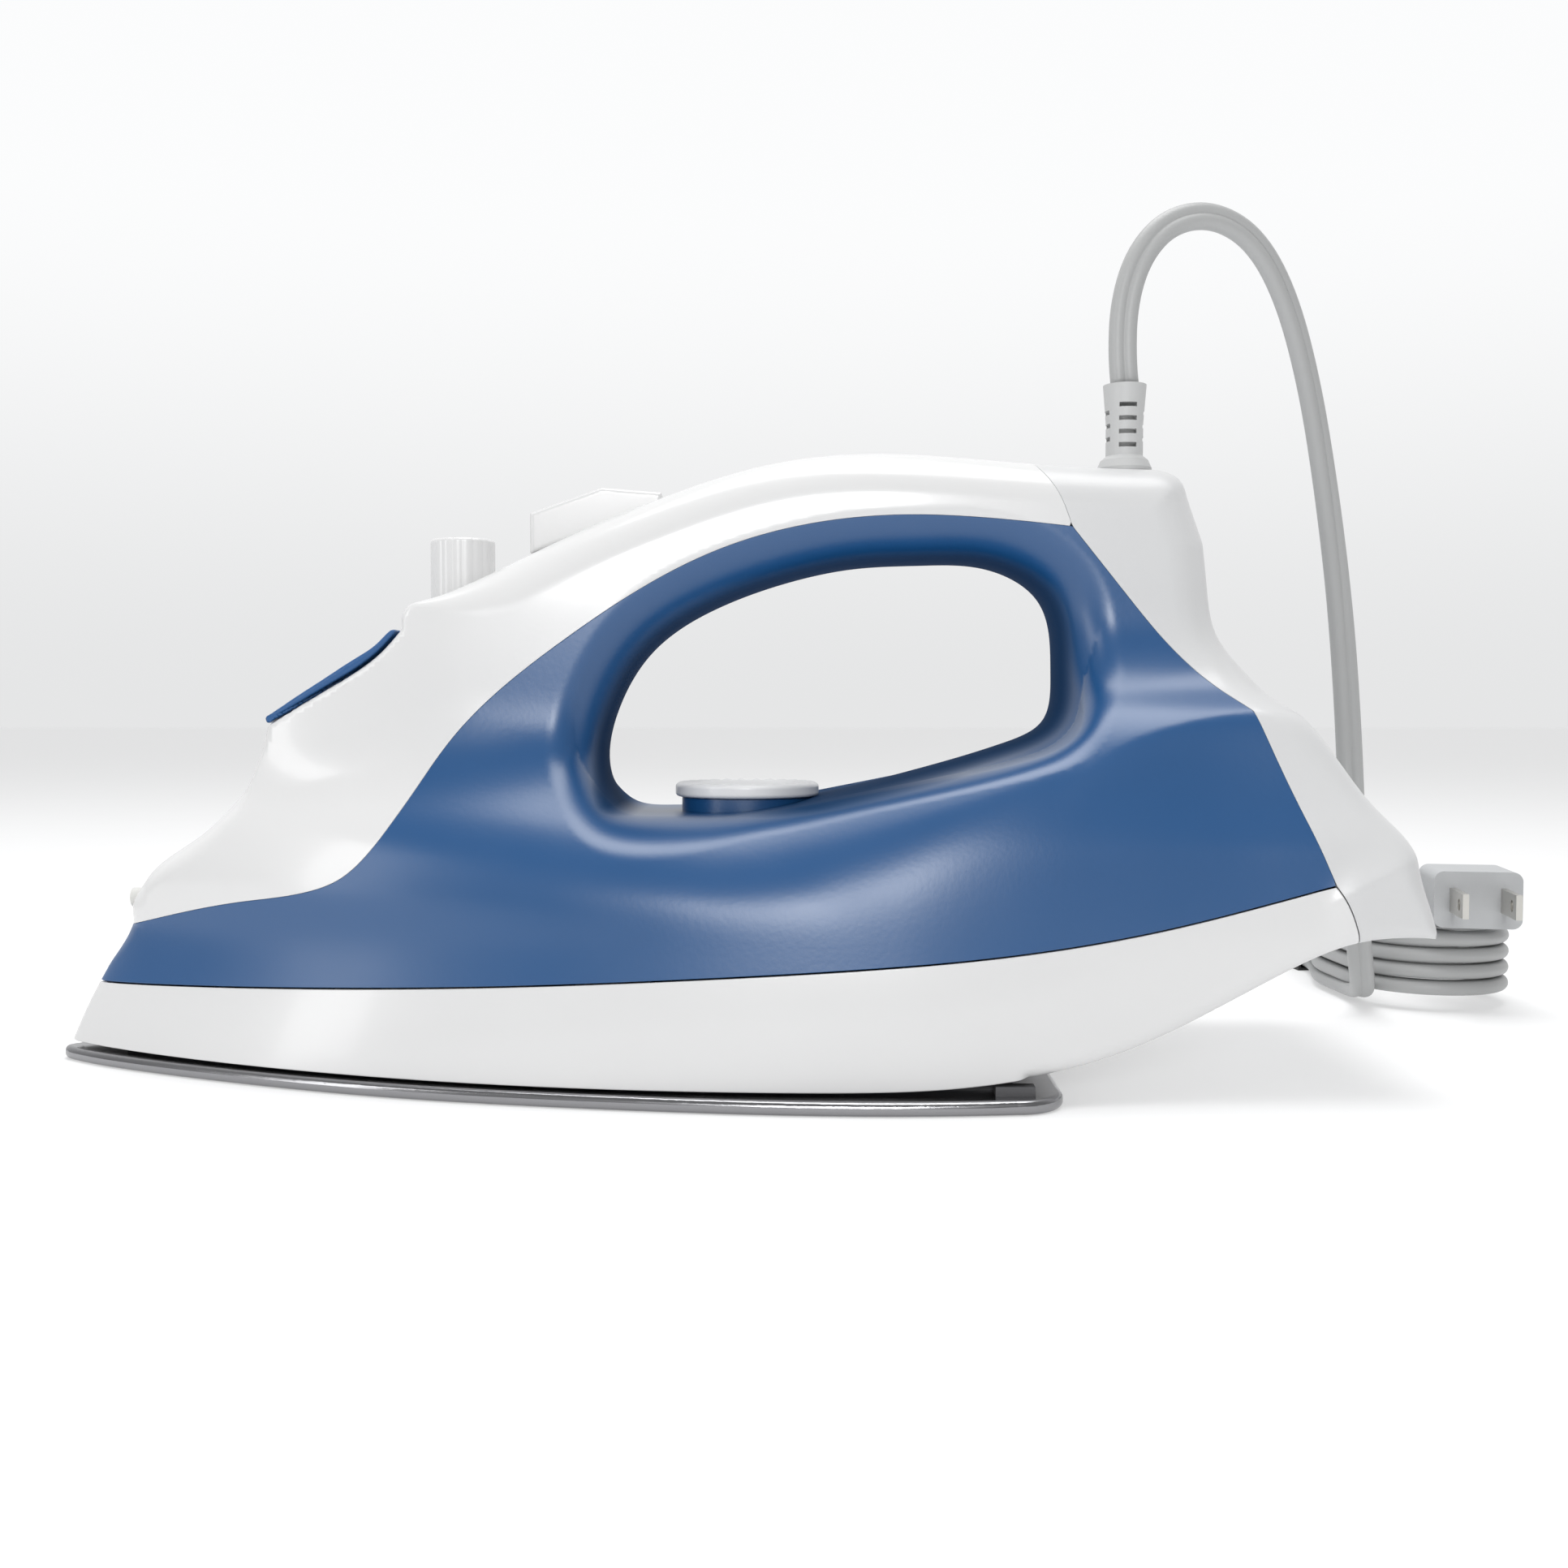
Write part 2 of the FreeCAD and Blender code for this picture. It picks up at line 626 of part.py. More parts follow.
def chamber(margin, low, high):
    """The steam chamber's plan, between the two arms of the element."""
    plan = [(chamber_front_x, 3.0), (chamber_rear_x, 13.0), (chamber_rear_x, -13.0),
            (chamber_front_x, -3.0)]
    signs = [(-1, 1), (1, 1), (1, -1), (-1, -1)]
    points = [V(x + sx * margin, y + sy * margin, low) for (x, y), (sx, sy) in zip(plan, signs)]
    wire = Part.makePolygon(points + [points[0]])
    return Part.Face(wire).extrude(V(0, 0, high - low))


# ---- water side ----

def make_water_side():
    region = block(tank_front_x, tank_rear_x, -60, 60, tank_low_z, tank_top_z)
    outer = body_loft(wall + tank_clear).common(region)
    inside = body_loft(wall + tank_clear + tank_wall)
    inside = inside.common(block(tank_front_x + tank_wall, tank_rear_x - tank_wall, -60, 60,
                                 tank_low_z + tank_wall, tank_top_z - tank_wall))
    tank = outer.cut(inside)
    funnel_low = tank_top_z - tank_wall
    tank = tank.cut(cylinder(funnel_radius - tank_wall, funnel_low - 1, tank_top_z + 1, funnel_x))
    tank = tank.fuse(ring(funnel_radius, funnel_radius - tank_wall, tank_top_z, funnel_top_z, funnel_x))
    tank = tank.cut(cylinder(seat_radius, tank_low_z - 1, tank_low_z + tank_wall, valve_x))
    tank = tank.cut(cylinder(valve_radius + 0.5, tank_top_z - tank_wall, tank_top_z, valve_x))
    tank = tank.cut(cylinder(suction_radius, tank_top_z - tank_wall, tank_top_z, knob_x))
    save(tank, "water_tank")
    seat = ring(seat_radius, valve_radius + valve_clear, heater_top, tank_low_z + tank_wall, valve_x)
    save(seat, "valve_seat")
    rod = cylinder(valve_radius, heater_top + 1.5, slider_foot_z - 0.4, valve_x)
    save(rod, "steam_valve_rod")

    body = cylinder(piston_radius + piston_clear + pump_wall, tank_top_z, pump_top_z, knob_x)
    body = body.cut(cylinder(piston_radius + piston_clear, tank_top_z + 6, pump_top_z + 1, knob_x))
    body = body.cut(cylinder(suction_radius, tank_top_z - 1, tank_top_z + 7, knob_x))
    hose_hole = Part.makeCylinder(hose_radius, 8, V(knob_x - 8, 0, hose_route[0][2]), V(1, 0, 0))
    save(body.cut(hose_hole), "pump_body")
    save(ring(suction_radius, 0.9, tank_low_z + 3, tank_top_z + 6, knob_x), "suction_tube")
    piston = cylinder(piston_radius, piston_low_z, piston_low_z + 8, knob_x)
    save(piston.fuse(cylinder(stem_radius, piston_low_z, knob_low_z, knob_x)), "pump_piston")
    knob = cylinder(knob_radius, knob_low_z, knob_top_z, knob_x)
    knob = knob.makeFillet(0.8, [e for e in knob.Edges if e.BoundBox.ZMin > knob_top_z - 0.1])
    save(knob, "burst_knob")
    save(pump_spring(), "pump_spring")
    save(swept_tube(hose_route, hose_radius), "spray_hose")
    nozzle = Part.makeCylinder(nozzle_radius, nozzle_length, V(nozzle_tip_x, 0, nozzle_z), V(1, 0, 0))
    jet = Part.makeCylinder(0.5, nozzle_length, V(nozzle_tip_x - 1, 0, nozzle_z), V(1, 0, 0))
    save(nozzle.cut(jet), "spray_nozzle")


def pump_spring():
    """The return spring, as a tube through points on its helix."""
    low = pump_top_z + spring_wire + 0.1
    height = knob_low_z - pump_top_z - 2 * spring_wire - 0.2
    steps = spring_turns * spring_points
    route = []
    for i in range(steps + 1):
        angle = 2 * math.pi * i / spring_points
        route.append((knob_x + spring_radius * math.cos(angle), spring_radius * math.sin(angle),
                      low + height * i / steps))
    return swept_tube(route, spring_wire)


# ---- lid ----

def make_lid():
    """The lid: a plate on the slope that ends in a barrel round its pin, right across it."""
    low = [(x, z + lid_clear) for x, z in lid_slope]
    share = (lid_pin_x - low[0][0]) / (low[1][0] - low[0][0])
    pin_low = (lid_pin_x, low[0][1] + share * (low[1][1] - low[0][1]))
    top = [(-98.0, 79.6), (-92.3, 83.8), (-84.8, 88.4), (-77.3, 93), (-72, 96.5),
           (lid_pin_x, lid_pin_z + lid_barrel_radius)]
    edges = [curve(top)] + polyline([top[0], low[0], pin_low, top[-1]])
    plate = side_prism(edges)
    barrel = Part.makeCylinder(lid_barrel_radius, 60, V(lid_pin_x, -30, lid_pin_z), ACROSS)
    lid = plate.fuse(barrel).common(body_loft(1.0))
    lid = lid.cut(lid_pin(lid_pin_clear))
    for side in (-1, 1):
        lid = lid.cut(lid_ear_block(side, lid_clear))
    save(lid, "water_lid")
    save(lid_pin(0.0), "lid_pin")


# ---- controls on the handle and under it ----

def make_controls():
    fin = side_prism(polyline([(-40.4, slider_base_z + 1.3), (-40.4, 125.4), (-24.1, 131.2),
                               (-10.4, 130.1), (-10.4, slider_base_z + 1.3
                                               + slider_length * math.tan(slider_slope)),
                               (-40.4, slider_base_z + 1.3)]))
    fin = fin.common(block(-60, 10, -slider_half, slider_half, 100, 140))
    long = slider_length / math.cos(slider_slope)
    stem = slope_box(4.0, long - 3.0, slider_stem_half, 6.0, 2.4)
    foot = side_prism(polyline([(-44, slider_foot_z), (-44, 107.6), (-20, 118.0), (-20, slider_foot_z),
                                (-44, slider_foot_z)]))
    foot = foot.common(block(-60, 10, -6.5, 6.5, 90, 140))
    stem = stem.common(block(-60, 10, -6.5, 6.5, slider_foot_z, 140))
    save(fin.fuse(stem).fuse(foot), "steam_slider")

    disc = cylinder(dial_radius, dial_z + 0.2, dial_z + dial_thick, dial_x)
    disc = disc.makeFillet(0.8, [e for e in disc.Edges if len(e.Vertexes) == 1])
    save(disc, "dial")
    save(cylinder(spindle_radius, spindle_low_z + 0.2, dial_z + 0.2, dial_x), "dial_spindle")
    base = ring(dial_base_radius, spindle_radius + spindle_clear, 55.1, dial_z, dial_x)
    save(base, "dial_base")


# ---- mains side ----

def make_mains(hollow):
    terminal = block(terminal_front_x, terminal_rear_x, -14, 14, deck_z + deck_thick, terminal_top_z)
    save(terminal, "terminal_block")
    leads = []
    for y in (-lead_offset, lead_offset):
        leads.append(cylinder(lead_radius, terminal_top_z, retainer_low_z, guard_x, y))
    save(Part.makeCompound(leads), "supply_leads")
    heater_leads = []
    for side in (-1, 1):
        end_x = element_route[0][0]
        route = [(terminal_front_x, 10 * side, 25), (76.5, 10 * side, 25), (74, 13 * side, 20),
                 (73, 18 * side, 14), (72, 23 * side, 9.2), (end_x + 3, element_half * side, element_z),
                 (end_x, element_half * side, element_z)]
        heater_leads.append(swept_tube(route, lead_radius))
    save(Part.makeCompound(heater_leads), "heater_leads")
    plate = hollow.common(block(retainer_front_x, retainer_rear_x, -40, 40, retainer_low_z,
                                retainer_low_z + retainer_thick))
    save(plate.cut(cylinder(cord_width / 2 + 0.5, 100, 140, guard_x)), "guard_retainer")
    clamp = body_loft(wall + clamp_clear).common(block(clamp_front_x, clamp_rear_x, -40, 40,
                                                clamp_low_z, clamp_top_z))
    for y in (-lead_offset, lead_offset):
        clamp = clamp.cut(cylinder(lead_radius, 100, 120, guard_x, y))
    save(clamp, "cord_clamp")


def make_guard():
    profile = [(0, guard_bottom_z), (guard_flange_radius, guard_bottom_z),
               (guard_flange_radius, guard_bottom_z + guard_flange_thick),
               (guard_neck_radius, guard_bottom_z + guard_flange_thick),
               (guard_neck_radius, guard_collar_z + 0.6), (5.4, guard_collar_z + 2.4),
               (guard_waist, guard_collar_z + 3.4), (guard_waist, 146), (guard_rim, guard_top_z),
               (0, guard_top_z), (0, guard_bottom_z)]
    face = Part.Face(Part.makePolygon([V(x, 0, z) for x, z in profile]))
    guard = face.revolve(V(0, 0, 0), UP, 360)
    guard = guard.cut(cylinder(cord_width / 2 + guard_bore_clear, 100, 170))
    for i in range(guard_slots):
        z = guard_slot_z + guard_slot_pitch * i
        for side in (-1, 1):
            reach = (2.4, 7.0) if side > 0 else (-7.0, -2.4)
            guard = guard.cut(block(-2.0, 2.0, *reach, z - 0.5, z + 0.5))
            if i < guard_slots - 1:
                guard = guard.cut(block(*reach, -2.0, 2.0, z + 1.0, z + 2.0))
    guard.translate(V(guard_x, 0, 0))
    save(guard, "cord_guard")


def make_cord():
    save(swept_tube(cord_route, cord_tube_radius, "cord_tube"), "cord_tube")
    height = hank_layers * cord_thick
    hank = hank_outline(cord_width / 2).cut(hank_outline(-cord_width / 2)).extrude(V(0, 0, height))
    save(hank, "cord_hank")
    half = hank_waist + cord_width / 2 + tie_clear
    low = tie_at - tie_width / 2
    tie = block(low, low + tie_width, -half - tie_thick, half + tie_thick,
                0, height + 2 * tie_thick + tie_clear)
    tie = tie.makeFillet(1.0, [e for e in tie.Edges if e.BoundBox.XLength > tie_width - 0.1
                               and e.BoundBox.ZMax > 5])
    top = tie_thick + height + tie_clear
    tie = tie.cut(block(low - 1, low + tie_width + 1, -half, half, tie_thick, top))
    save(in_hank(tie), "cord_tie")
    tail = [tuple(hank_place(*p)) for p in tail_route]
    save(swept_tube(tail, cord_tube_radius, "cord_tail"), "cord_tail")

    body = block(plug_neck, plug_neck + plug_length, -plug_wide / 2, plug_wide / 2,
                 -plug_high / 2, plug_high / 2)
    body = body.makeFillet(2.5, [e for e in body.Edges if e.BoundBox.XLength > plug_length - 0.1])
    neck = Part.makeCone(4.3, 5.6, plug_neck, V(0, 0, 0), V(1, 0, 0))
    slots = []
    blades = []
    for side in (-1, 1):
        blade = block(plug_neck + plug_length - 6, plug_neck + plug_length + blade_length,
                      blade_gap / 2 * side - blade_thick / 2, blade_gap / 2 * side + blade_thick / 2,
                      -blade_wide / 2, blade_wide / 2)
        slots.append(blade)
        hole = Part.makeCylinder(1.5, 40, V(plug_neck + plug_length + blade_length - 4.5, -20, 0), ACROSS)
        blades.append(blade.cut(hole))
    plug = body.fuse(neck).cut(Part.makeCompound(slots))
    save(in_plug(plug), "mains_plug")
    save(in_plug(Part.makeCompound(blades)), "plug_blades")


def in_hank(shape):
    shape.rotate(V(0, 0, 0), UP, math.degrees(hank_turn))
    shape.translate(hank_center)
    return shape


def in_plug(shape):
    shape.rotate(V(0, 0, 0), UP, math.degrees(plug_turn))
    shape.translate(V(*tail_route[-1]))
    return in_hank(shape)


os.makedirs("parts", exist_ok=True)
blank, hollow = shell_blank()
make_shells(blank, hollow)
make_heater()
make_water_side()
make_lid()
make_controls()
make_mains(hollow)
make_guard()
make_cord()
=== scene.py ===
import bpy
import math
import numpy as np
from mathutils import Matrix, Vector


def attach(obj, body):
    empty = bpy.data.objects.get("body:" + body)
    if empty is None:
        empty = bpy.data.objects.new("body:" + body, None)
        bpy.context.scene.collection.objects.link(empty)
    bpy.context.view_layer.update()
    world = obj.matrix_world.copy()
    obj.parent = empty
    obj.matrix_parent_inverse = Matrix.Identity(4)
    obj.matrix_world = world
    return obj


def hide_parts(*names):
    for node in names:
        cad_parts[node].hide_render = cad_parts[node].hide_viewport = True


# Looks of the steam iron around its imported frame. Lengths below are in millimetres unless a
# name says otherwise, and MM turns them into Blender's metres.

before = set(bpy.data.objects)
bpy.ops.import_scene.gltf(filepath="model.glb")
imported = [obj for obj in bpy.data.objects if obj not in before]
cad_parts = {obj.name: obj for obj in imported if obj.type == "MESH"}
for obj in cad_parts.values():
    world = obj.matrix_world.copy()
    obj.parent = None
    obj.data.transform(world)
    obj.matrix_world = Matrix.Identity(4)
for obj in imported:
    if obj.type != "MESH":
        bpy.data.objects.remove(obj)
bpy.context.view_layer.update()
MM = 0.001


# ---- camera, floor and light ----

CAMERA_PLACE = (17.5, -372.0, 79.7)
CAMERA_DIP = math.radians(2.48)
LEVEL_GAZE = math.radians(90)


def make_camera():
    camera = bpy.data.cameras.new("camera")
    camera.lens = 37.0
    camera.sensor_width = 36.0
    camera.clip_start = 0.01
    holder = bpy.data.objects.new("camera", camera)
    holder.location = [v * MM for v in CAMERA_PLACE]
    holder.rotation_euler = (LEVEL_GAZE - CAMERA_DIP, 0, 0)
    bpy.context.scene.collection.objects.link(holder)
    bpy.context.scene.camera = holder


def area_light(name, place, target, size, power):
    """A rectangular lamp, placed, aimed and sized in metres, with its power in watts."""
    light = bpy.data.lights.new(name, "AREA")
    light.shape = "RECTANGLE"
    light.size = size[0]
    light.size_y = size[1]
    light.energy = power
    holder = bpy.data.objects.new(name, light)
    holder.location = place
    aim = Vector(target) - Vector(place)
    holder.rotation_euler = aim.to_track_quat("-Z", "Y").to_euler()
    bpy.context.scene.collection.objects.link(holder)


def soft_step(tree, value, start, end, low, high):
    """A smooth step from low to high while value goes from start to end."""
    step = tree.nodes.new("ShaderNodeMapRange")
    step.interpolation_type = "SMOOTHSTEP"
    step.inputs["From Min"].default_value = start
    step.inputs["From Max"].default_value = end
    step.inputs["To Min"].default_value = low
    step.inputs["To Max"].default_value = high
    tree.links.new(value, step.inputs["Value"])
    return step.outputs["Result"]


def make_studio():
    """Three soft lamps and a pale sky that is brightest behind the iron."""
    area_light("key", (-1.0, -0.7, 0.4), (-0.05, 0, 0.05), (0.2, 0.9), 2.7)
    area_light("front", (-0.03, -1.1, 0.4), (0.02, 0, 0.04), (0.36, 0.24), 4.1)
    area_light("top", (0.05, 0.05, 1.2), (0, 0, 0.05), (1.0, 0.7), 10.5)
    world = bpy.data.worlds.new("studio")
    world.use_nodes = True
    tree = world.node_tree
    background = tree.nodes["Background"]
    background.inputs["Color"].default_value = (0.97, 0.975, 0.98, 1)
    place = tree.nodes.new("ShaderNodeTexCoord")
    parts = tree.nodes.new("ShaderNodeSeparateXYZ")
    tree.links.new(place.outputs["Generated"], parts.inputs["Vector"])
    fade = soft_step(tree, parts.outputs["Y"], -0.3, 0.7, 0.36, 1.0)
    low = soft_step(tree, parts.outputs["Z"], 0.0, 0.3, 0.81, 1.0)
    both = tree.nodes.new("ShaderNodeMath")
    both.operation = "MULTIPLY"
    tree.links.new(fade, both.inputs[0])
    tree.links.new(low, both.inputs[1])
    tree.links.new(both.outputs["Value"], background.inputs["Strength"])
    bpy.context.scene.world = world
    bpy.context.scene.view_settings.view_transform = "Standard"


# ---- smooth side-view curves ----

def spline(points, count=300, closed=False):
    """A smooth curve through 2-D points, as count points close together."""
    p = np.array(points, float)
    if closed:
        p = np.vstack([p, p[:1]])
    h = np.linalg.norm(np.diff(p, axis=0), axis=1)
    t = np.concatenate([[0], np.cumsum(h)])
    n = len(p)
    slopes = np.diff(p, axis=0) / h[:, None]
    system = np.zeros((n, n))
    known = np.zeros((n, 2))
    for i in range(1, n - 1):
        system[i, i - 1:i + 2] = (h[i - 1], 2 * (h[i - 1] + h[i]), h[i])
        known[i] = 6 * (slopes[i] - slopes[i - 1])
    system[0, 0] = 1
    system[-1, -1] = 1
    if closed:
        system[0, -1] = -1
        system[-1, :2] += (2 * h[0], h[0])
        system[-1, -2:] += (h[-1], 2 * h[-1] - 1)
        known[-1] = 6 * (slopes[0] - slopes[-1])
    bend = np.linalg.solve(system, known)
    s = np.linspace(0, t[-1], count)
    i = np.clip(np.searchsorted(t, s) - 1, 0, n - 2)
    a = ((t[i + 1] - s) / h[i])[:, None]
    b = 1 - a
    curved = ((a ** 3 - a) * bend[i] + (b ** 3 - b) * bend[i + 1]) * (h[i] ** 2 / 6)[:, None]
    return a * p[i] + b * p[i + 1] + curved


def depth_in(line):
    """A function giving how deep a side-view point lies in a closed outline."""
    ends = np.roll(line, -1, axis=0)
    keep = np.linalg.norm(ends - line, axis=1) > 1e-6
    start = line[keep]
    run = ends[keep] - start
    length2 = (run ** 2).sum(axis=1)

    def depth(x, z):
        x, z = np.broadcast_arrays(np.asarray(x, float), np.asarray(z, float))
        px = x.ravel()
        pz = z.ravel()
        result = np.empty(len(px))
        for low in range(0, len(px), 8000):
            dx = px[low:low + 8000, None] - start[None, :, 0]
            dz = pz[low:low + 8000, None] - start[None, :, 1]
            share = np.clip((dx * run[:, 0] + dz * run[:, 1]) / length2, 0, 1)
            gap = np.hypot(dx - share * run[:, 0], dz - share * run[:, 1]).min(axis=1)
            over = (dz < 0) != (dz - run[:, 1] < 0)
            slope = np.where(np.abs(run[:, 1]) < 1e-12, 1e-12, run[:, 1])
            left = dx < dz * run[:, 0] / slope
            inside = (over & left).sum(axis=1) % 2 == 1
            result[low:low + 8000] = np.where(inside, gap, -gap)
        return result.reshape(x.shape)
    return depth


def smooth(low, high, value):
    share = np.clip((value - low) / (high - low), 0, 1)
    return share * share * (3 - 2 * share)


class Chart:
    """A side-view quantity kept on a grid and read back smoothly in between."""
    low = np.array([-164.0, -8.0])
    counts = (324, 160)

    def __init__(self, rule):
        x = self.low[0] + np.arange(self.counts[0])
        z = self.low[1] + np.arange(self.counts[1])
        self.rows = rule(*np.meshgrid(x, z, indexing="ij"))

    def __call__(self, x, z):
        x, z = np.broadcast_arrays(np.asarray(x, float), np.asarray(z, float))
        u = np.clip(x - self.low[0], 1, self.counts[0] - 2.001)
        v = np.clip(z - self.low[1], 1, self.counts[1] - 2.001)
        i = u.astype(int)
        j = v.astype(int)
        across = self.weights(u - i)
        along = self.weights(v - j)
        total = np.zeros(x.shape)
        for a in range(4):
            for b in range(4):
                total += across[a] * along[b] * self.rows[i + a - 1, j + b - 1]
        return total

    @staticmethod
    def weights(f):
        return (f * (-0.5 + f * (1 - 0.5 * f)), 1 + f * f * (1.5 * f - 2.5),
                f * (0.5 + f * (2 - 1.5 * f)), f * f * (0.5 * f - 0.5))


# ---- surfaces where a field is zero ----

def contour(field, low, high, step):
    """The surface field = 0 in a box, as points and four-sided faces that look outwards."""
    axes = [np.arange(a, b + step, step) for a, b in zip(low, high)]
    grid = np.meshgrid(*axes, indexing="ij", sparse=True)
    shape = tuple(len(axis) for axis in axes)
    values = np.array(np.broadcast_to(field(*grid), shape))
    flat_values = values.ravel()
    inside = values < 0
    strides = np.array([shape[1] * shape[2], shape[2], 1])
    faces = []
    crossings = []
    for d, e, f in ((0, 1, 2), (1, 2, 0), (2, 0, 1)):
        near = np.moveaxis(inside, d, 0)
        differs = np.moveaxis(near[:-1] != near[1:], 0, d)
        where = np.argwhere(differs)
        good = (where[:, e] > 0) & (where[:, e] < shape[e] - 1)
        good &= (where[:, f] > 0) & (where[:, f] < shape[f] - 1)
        where = where[good]
        flat = where @ strides
        first = flat_values[flat]
        second = flat_values[flat + strides[d]]
        point = where.astype(float)
        point[:, d] += first / (first - second)
        cells = np.stack([flat - strides[e] - strides[f], flat - strides[f], flat,
                          flat - strides[e]], axis=1)
        cells[first > 0] = cells[first > 0][:, ::-1]
        faces.append(cells)
        crossings.append(point)
    faces = np.vstack(faces)
    crossings = np.vstack(crossings)
    used, index = np.unique(faces.ravel(), return_inverse=True)
    index = index.reshape(faces.shape)
    count = np.bincount(index.ravel(), minlength=len(used)).astype(float)
    points = np.empty((len(used), 3))
    for d in range(3):
        spread = np.repeat(crossings[:, d], 4)
        points[:, d] = np.bincount(index.ravel(), weights=spread, minlength=len(used)) / count
    points = points * step + np.array([axis[0] for axis in axes])
    return settle(field, points), index


def gradient(field, points, reach=0.05):
    result = np.empty(points.shape)
    for d in range(3):
        shift = np.zeros(3)
        shift[d] = reach
        ahead = field(*(points + shift).T)
        behind = field(*(points - shift).T)
        result[:, d] = (ahead - behind) / (2 * reach)
    return result


def unit(vectors):
    return vectors / np.maximum(np.linalg.norm(vectors, axis=1), 1e-9)[:, None]


def settle(field, points, rounds=3, most=0.6):
    """Move points onto the surface along the field's gradient."""
    for _ in range(rounds):
        slope = gradient(field, points)
        size = np.maximum((slope ** 2).sum(axis=1), 1e-6)
        step = slope * (field(*points.T) / size)[:, None]
        length = np.maximum(np.linalg.norm(step, axis=1), 1e-9)
        points = points - step * np.minimum(1, most / length)[:, None]
    return points


def rounded_and(a, b, radius):
    """Where both fields are negative, with the edge between them rounded."""
    corner = np.hypot(np.maximum(a + radius, 0), np.maximum(b + radius, 0))
    return np.minimum(np.maximum(a, b), -radius) + corner


def rounded_or(a, b, radius):
    return -rounded_and(-a, -b, radius)


NEAR_ZERO = 1e-4


def clip(points, faces, keep):
    """The part of a four-sided mesh where keep is positive, as points and triangles."""
    triangles = np.vstack([faces[:, [0, 1, 2]], faces[:, [0, 2, 3]]])
    value = keep(*points.T)
    value = np.where(np.abs(value) < NEAR_ZERO, NEAR_ZERO, value)
    positive = value[triangles] > 0
    whole = triangles[positive.all(axis=1)]
    mixed = triangles[positive.any(axis=1) & ~positive.all(axis=1)]
    made = {}
    extra = []
    cut = []

    def crossing(a, b):
        key = (min(a, b), max(a, b))
        if key not in made:
            made[key] = len(points) + len(extra)
            share = value[a] / (value[a] - value[b])
            extra.append(points[a] + share * (points[b] - points[a]))
        return made[key]

    for corners in mixed.tolist():
        while not (value[corners[0]] > 0 and value[corners[2]] <= 0):
            corners = corners[1:] + corners[:1]
        a, b, c = corners
        if value[b] > 0:
            low = crossing(b, c)
            high = crossing(c, a)
            cut += [(a, b, low), (a, low, high)]
        else:
            cut.append((a, crossing(a, b), crossing(c, a)))
    if extra:
        points = np.vstack([points, np.array(extra)])
        whole = np.vstack([whole, np.array(cut)])
    used, index = np.unique(whole.ravel(), return_inverse=True)
    return points[used], index.reshape(whole.shape)


def rim(points, faces, field, keep, radius, depth):
    """Roll the open edge of a clipped shell over and turn it inwards."""
    sides = np.vstack([faces[:, [0, 1]], faces[:, [1, 2]], faces[:, [2, 0]]])
    key = np.sort(sides, axis=1)
    _, first, count = np.unique(key, axis=0, return_index=True, return_counts=True)
    edges = sides[first[count == 1]]
    spots = np.unique(edges)
    place = points[spots]
    for _ in range(3):
        slope = gradient(keep, place)
        size = np.maximum((slope ** 2).sum(axis=1), 1e-6)
        place = place - slope * (keep(*place.T) / size)[:, None]
        place = settle(field, place, 1)
    points = points.copy()
    points[spots] = place
    normal = unit(gradient(field, place))
    away = -gradient(keep, place)
    away = unit(away - (away * normal).sum(axis=1)[:, None] * normal)
    rings = []
    turned = []
    for share in (1 / 3, 2 / 3, 1):
        angle = share * math.pi / 2
        rings.append(place + radius * (math.sin(angle) * away - (1 - math.cos(angle)) * normal))
        turned.append(math.cos(angle) * normal + math.sin(angle) * away)
    rings.append(rings[-1] - depth * normal)
    turned.append(away)
    lookup = np.full(len(points), -1)
    lookup[spots] = np.arange(len(spots))
    a = lookup[edges[:, 0]]
    b = lookup[edges[:, 1]]
    base = len(points)
    quads = []
    lower = spots
    for ring in range(len(rings)):
        upper = base + ring * len(spots) + np.arange(len(spots))
        quads.append(np.stack([lower[b], lower[a], upper[a], upper[b]], axis=1))
        lower = upper
    return np.vstack([points] + rings), np.vstack(quads), np.vstack(turned)


# ---- objects ----

def add_mesh(name, points, faces, normals=None, smooth_faces=True):
    mesh = bpy.data.meshes.new(name)
    mesh.from_pydata((np.asarray(points) * MM).tolist(), [], [list(f) for f in faces])
    mesh.validate()
    if smooth_faces:
        mesh.shade_smooth()
    else:
        mesh.shade_flat()
    if normals is not None and len(mesh.vertices) == len(normals):
        mesh.normals_split_custom_set_from_vertices(np.asarray(normals).tolist())
    piece = bpy.data.objects.new(name, mesh)
    bpy.context.scene.collection.objects.link(piece)
    return piece


def solid(name, field, low, high, step, material):
    """A closed piece from a field, with its exact normals."""
    points, faces = contour(field, low, high, step)
    piece = add_mesh(name, points, faces.tolist(), unit(gradient(field, points, 0.02)))
    piece.data.materials.append(material)
    return piece


def shell(name, field, mesh, keep, material, radius=0.3, depth=2.0):
    """One moulded shell: the part of the body's surface that keep leaves, with a rolled rim."""
    def inside(x, y, z):
        return keep(x, y, z) - radius

    points, faces = clip(mesh[0], mesh[1], inside)
    rolled, quads, turned = rim(points, faces, field, inside, radius, depth)
    count = len(points)
    normals = np.vstack([unit(gradient(field, rolled[:count])), turned])
    piece = add_mesh(name, rolled, faces.tolist() + quads.tolist(), normals)
    piece.data.materials.append(material)
    return piece


# ---- materials ----

